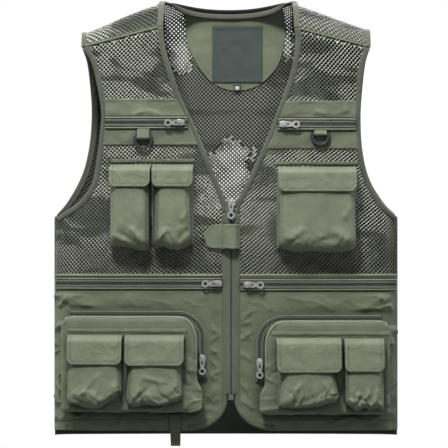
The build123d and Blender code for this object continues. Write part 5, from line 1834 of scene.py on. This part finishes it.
def pouch_details():
    """The loop patch beside the closing tab, then all pouch stitches and loop pads."""
    loop_pads[-1].sheet(front, np.linspace(-384, -360, 10), *girth_span(-31, -13), columns=10,
                        thick=0.8, lift=1.4)
    for side in SIDES:
        name = SIDE_NAME[side]
        pouch_thread[side].make(f"pouch_stitches_{name}", THREAD, BODY[side], "pocket")
        loop_pads[side].make(f"loop_patches_{name}", HOOK_LOOP, BODY[side], "hook_loop",
                             f"loop_pads_{name}")


# ------------------------------------------------------------------ D-ring loops
def ring_webbing(side, x, z, height):
    """Webbing folded round the ring's bar."""
    plane = Plane(x, z, BAND_TOP)
    bar_out, radius = 3.5, 2.9
    angle = np.linspace(0, pi, 18)
    # (out, up): down the back leg, round under the bar, up the front leg
    path = curve(np.vstack([[(0.9, height + 0.6), (0.75, 2.0)],
                            np.column_stack([bar_out - radius * np.cos(angle),
                                             -radius * np.sin(angle)]),
                            [(bar_out + radius, 1.0), (2.8, height + 0.8)]]), 60)
    points = plane.at(0.0, path[:, 1], path[:, 0])
    normals = np.cross(plane.across, directions(points))
    Mesh().sweep(points, normals, tape_section(20.0, 0.9, count=11, lift=-0.45)).make(
        f"ring_webbing_{SIDE_NAME[side]}", WEBBING, BODY[side], "webbing",
        f"d_ring_loop_{SIDE_NAME[side]}")


# ------------------------------------------------------------------ closing tab and strap
# the tab seen from above, (x, y) from its sewn end at the wearer's left; y from the front
TAB_LINE = curve([(22.6, -2.6), (20.4, -5.2), (17.5, -9.2), (14.0, -11.9), (8.0, -12.2),
                  (2.0, -11.9), (-3.4, -8.7), (-9.0, -4.6), (-20, -4.1), (-36.2, -4.0)], 90)
TAB_RUN = lengths(TAB_LINE)
TAB_HEADING = directions(TAB_LINE)
TAB_END = TAB_RUN[-1]
TAB_TIP_Z = -369
# (run, z) along the tab's upper and lower edges, out to the tip
TAB_TOP = curve([(0, -351.4), (TAB_END - 22, -351.6), (TAB_END - 10, -355.5),
                 (TAB_END - 2.5, -364), (TAB_END, TAB_TIP_Z)], 60)
TAB_LOW = curve([(0, -392.6), (TAB_END - 34, -390.6), (TAB_END - 12, -388.8),
                 (TAB_END - 6, -386), (TAB_END, TAB_TIP_Z)], 60)


def tab_surface(run, z, out=0.0):
    run, z, out = np.broadcast_arrays(np.asarray(run, float), z, out)
    lift = out + 0.5 * fractal(run, z, 14.0, 801) * ease(run, 2, 8)
    line_x, line_y, heading_x, heading_y = [
        np.interp(run, TAB_RUN, a) for a in (*TAB_LINE.T, *TAB_HEADING.T)]
    return np.stack([line_x - heading_y * lift, line_y + heading_x * lift - HALF_DEPTH, z], -1)


def tab_edge(z):
    if z > TAB_TIP_Z:
        return float(np.interp(-z, -TAB_TOP[:, 1], TAB_TOP[:, 0]))
    order = np.argsort(TAB_LOW[:, 1])
    return float(np.interp(z, TAB_LOW[order, 1], TAB_LOW[order, 0]))


def closing_tab():
    rows = np.r_[-391.4, -391.0, -390.2, -389.4, -388.6, -387.6, -386.4,
                 np.linspace(-385, -358, 26), -356, -354.6, -353.4, -352.6, -352.1, -351.7]
    Mesh().sheet(tab_surface, rows, 0.0, tab_edge, columns=44, thick=1.3, lift=-0.6,
                 hem=0.3).make("closing_tab_cloth", FLAP_CLOTH, "closing_tab", "pocket",
                               "closing_tab")
    top, low, end = -353.8, -389.4, TAB_END
    path = [(3, top), (end - 22, -353.9), (end - 11, -357.6), (end - 4, -366), (end - 3, -371),
            (end - 8, -384.8), (end - 14, -386.6), (3, low)]
    thread = Mesh().stitches(tab_surface, even(path, 1.5), 0.95)
    for run in (5.5, 2.2):
        thread.stitches(tab_surface, [(run, top), (run, low)], 0.95)
    thread.make("closing_tab_stitches", THREAD, "closing_tab", "pocket")
    Mesh().sheet(tab_surface, np.linspace(-383, -361, 8), end - 24, end - 7, columns=8,
                 thick=0.5, lift=-1.2, turned=True).make(
        "closing_tab_hook_pad", HOOK_LOOP, "closing_tab", "hook_loop")


def hem_strap():
    plane = Plane(-81.0, -652.0, BASE)

    def surface(x, y, out=0.0):
        wave = 0.3 * np.sin(-y / 11.0) * ease(-y, 4, 20)
        return plane.at(x - 0.021 * y, y, np.maximum(0.1 + wave, 0.05) + out)

    def half(y):
        return 9.2 + 0.03 * y

    rows = np.r_[-52, -51.7, -51, -50, np.linspace(-48, -3, 40), -1.5, -0.6, 0]
    Mesh().sheet(surface, rows, lambda y: -half(y), half, columns=16, thick=1.3,
                 hem=0.25).make("hem_strap_webbing", WEBBING, "hem_strap", "webbing",
                                "hem_strap")
    thread = Mesh()
    for y in (-2.0, -4.5, -7.0):
        thread.stitches(surface, [(-8.0, y), (8.0, y)], 1.5, pitch=1.6, length=1.5)
    thread.make("hem_strap_bar_tacks", THREAD, "hem_strap", "webbing")


# ------------------------------------------------------------------ hard parts
def hard_part_look(name):
    if "slider" in name or "pull" in name:
        return METAL
    if name in ("d_ring_left", "d_ring_right"):
        return RING_PLASTIC
    return BOX_PLASTIC if name == "main_zip_box" else None


def colour_hard_parts():
    """Hard parts keep their CAD shape and only take a material."""
    for name, part in frame["nodes"].items():
        look = hard_part_look(name)
        if look is not None:
            for slot in part.material_slots:
                slot.material = look.material


# ------------------------------------------------------------------ studio, in metres
def add_floor(radius=2.2, z=-0.80, corners=48):
    """A round floor, pale to the camera and dark to all other rays."""
    mesh = bpy.data.meshes.new("studio_floor")
    angles = [2 * pi * i / corners for i in range(corners)]
    mesh.from_pydata([(radius * math.cos(a), radius * math.sin(a), z) for a in angles], [],
                     [list(range(corners))])
    floor = bpy.data.objects.new("studio_floor", mesh)
    bpy.context.scene.collection.objects.link(floor)
    look = Look("studio_floor")
    seen = look.node("LightPath").outputs["Is Camera Ray"]
    look.set({"Base Color": look.mix(seen, (0.12, 0.12, 0.12, 1), (0.86, 0.86, 0.86, 1)),
              "Roughness": 0.9})
    mesh.materials.append(look.material)
    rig.stage(floor)


def add_world():
    """White to the camera, with only a faint ambient light."""
    world = bpy.data.worlds.new("studio")
    bpy.context.scene.world = world
    world.use_nodes = True
    nodes = Nodes(world.node_tree)
    nodes.tree.nodes.clear()
    seen = nodes.node("Background", {"Color": (1, 1, 1, 1), "Strength": 1.0})
    ambient = nodes.node("Background", {"Color": (0.97, 0.98, 1.0, 1), "Strength": 0.06})
    mixed = nodes.node("MixShader", {0: nodes.node("LightPath").outputs["Is Camera Ray"],
                                     1: ambient.outputs[0], 2: seen.outputs[0]})
    nodes.node("OutputWorld", {"Surface": mixed.outputs[0]})


LIGHT_TARGET = Vector((0, 0, -0.36))
LIGHTS = [  # name, place, disk size, watts
    ("key", (-0.5, -1.5, 2.0), 0.55, 70.0),
    ("top", (0.35, -0.6, 1.8), 0.5, 14.0),
    ("front", (0.5, -3.2, 0.4), 1.4, 8.0),
    ("side_left", (2.6, 0.4, 0.7), 1.2, 20.0),
    ("side_right", (-2.6, 0.4, 0.7), 1.2, 20.0),
    ("rim", (0.2, 2.4, 1.3), 1.6, 60.0),
]


def add_lights():
    for name, place, size, watts in LIGHTS:
        light = bpy.data.lights.new(name, "AREA")
        light.shape = "DISK"
        light.size = size
        light.energy = watts
        lamp = bpy.data.objects.new(name, light)
        lamp.location = place
        aim = LIGHT_TARGET - Vector(place)
        lamp.rotation_euler = aim.to_track_quat("-Z", "Y").to_euler()
        bpy.context.scene.collection.objects.link(lamp)


CAMERA_PLACE = (-0.003178, -10.0, -0.351169)
SENSOR_WIDTH = 36.0          # mm
VIEW_WIDTH = 0.711872        # width seen at VIEW_Y
VIEW_Y = -0.065


def add_camera():
    lens = bpy.data.cameras.new("cam")
    camera = bpy.data.objects.new("cam", lens)
    bpy.context.scene.collection.objects.link(camera)
    camera.location = CAMERA_PLACE
    camera.rotation_euler = (pi / 2, 0, 0)
    lens.sensor_width = SENSOR_WIDTH
    lens.lens = SENSOR_WIDTH * (VIEW_Y - CAMERA_PLACE[1]) / VIEW_WIDTH
    lens.clip_end = 60
    bpy.context.scene.camera = camera
    bpy.context.scene.view_settings.view_transform = "Standard"


# ------------------------------------------------------------------ build
for side in SIDES:
    front_net(side)
    back_net(side)
    shoulder_net(side)
    shoulder_seams(side)
back_lower()
side_seams()
neck_facing()
neckline()
back_armholes()
for side in SIDES:
    front_edges(side)
for side in SIDES:
    front_lower(side)
    chest_band(side)
    pocket_zips(side)
    main_zip(side)
    lining_bags(side)
for i, spec in enumerate(CHEST_POUCHES):
    make_pouch(spec, Plane(spec["x"], spec["z"], BASE), 200 + 20 * i, 300 + 20 * i)
chest_headers()
for side in SIDES:
    pocket = CargoPocket(side)
    pocket.make_cloth()
    pocket.make_piping()
    pocket.make_header()
for i, spec in enumerate(CARGO_POUCHES):
    make_pouch(spec, cargo_pouch_plane(spec), 500 + 20 * i, 600 + 20 * i)
pouch_details()
ring_webbing(1, x=149.5, z=-208.2, height=5.4)
ring_webbing(-1, x=-131.0, z=-214.0, height=13.8)
closing_tab()
hem_strap()
colour_hard_parts()
add_floor()
add_world()
add_lights()
add_camera()

new_box = bounds()
try:
    json.dump({"cad": cad_box, "visual": new_box}, open("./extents.json", "w"))
except OSError:
    pass
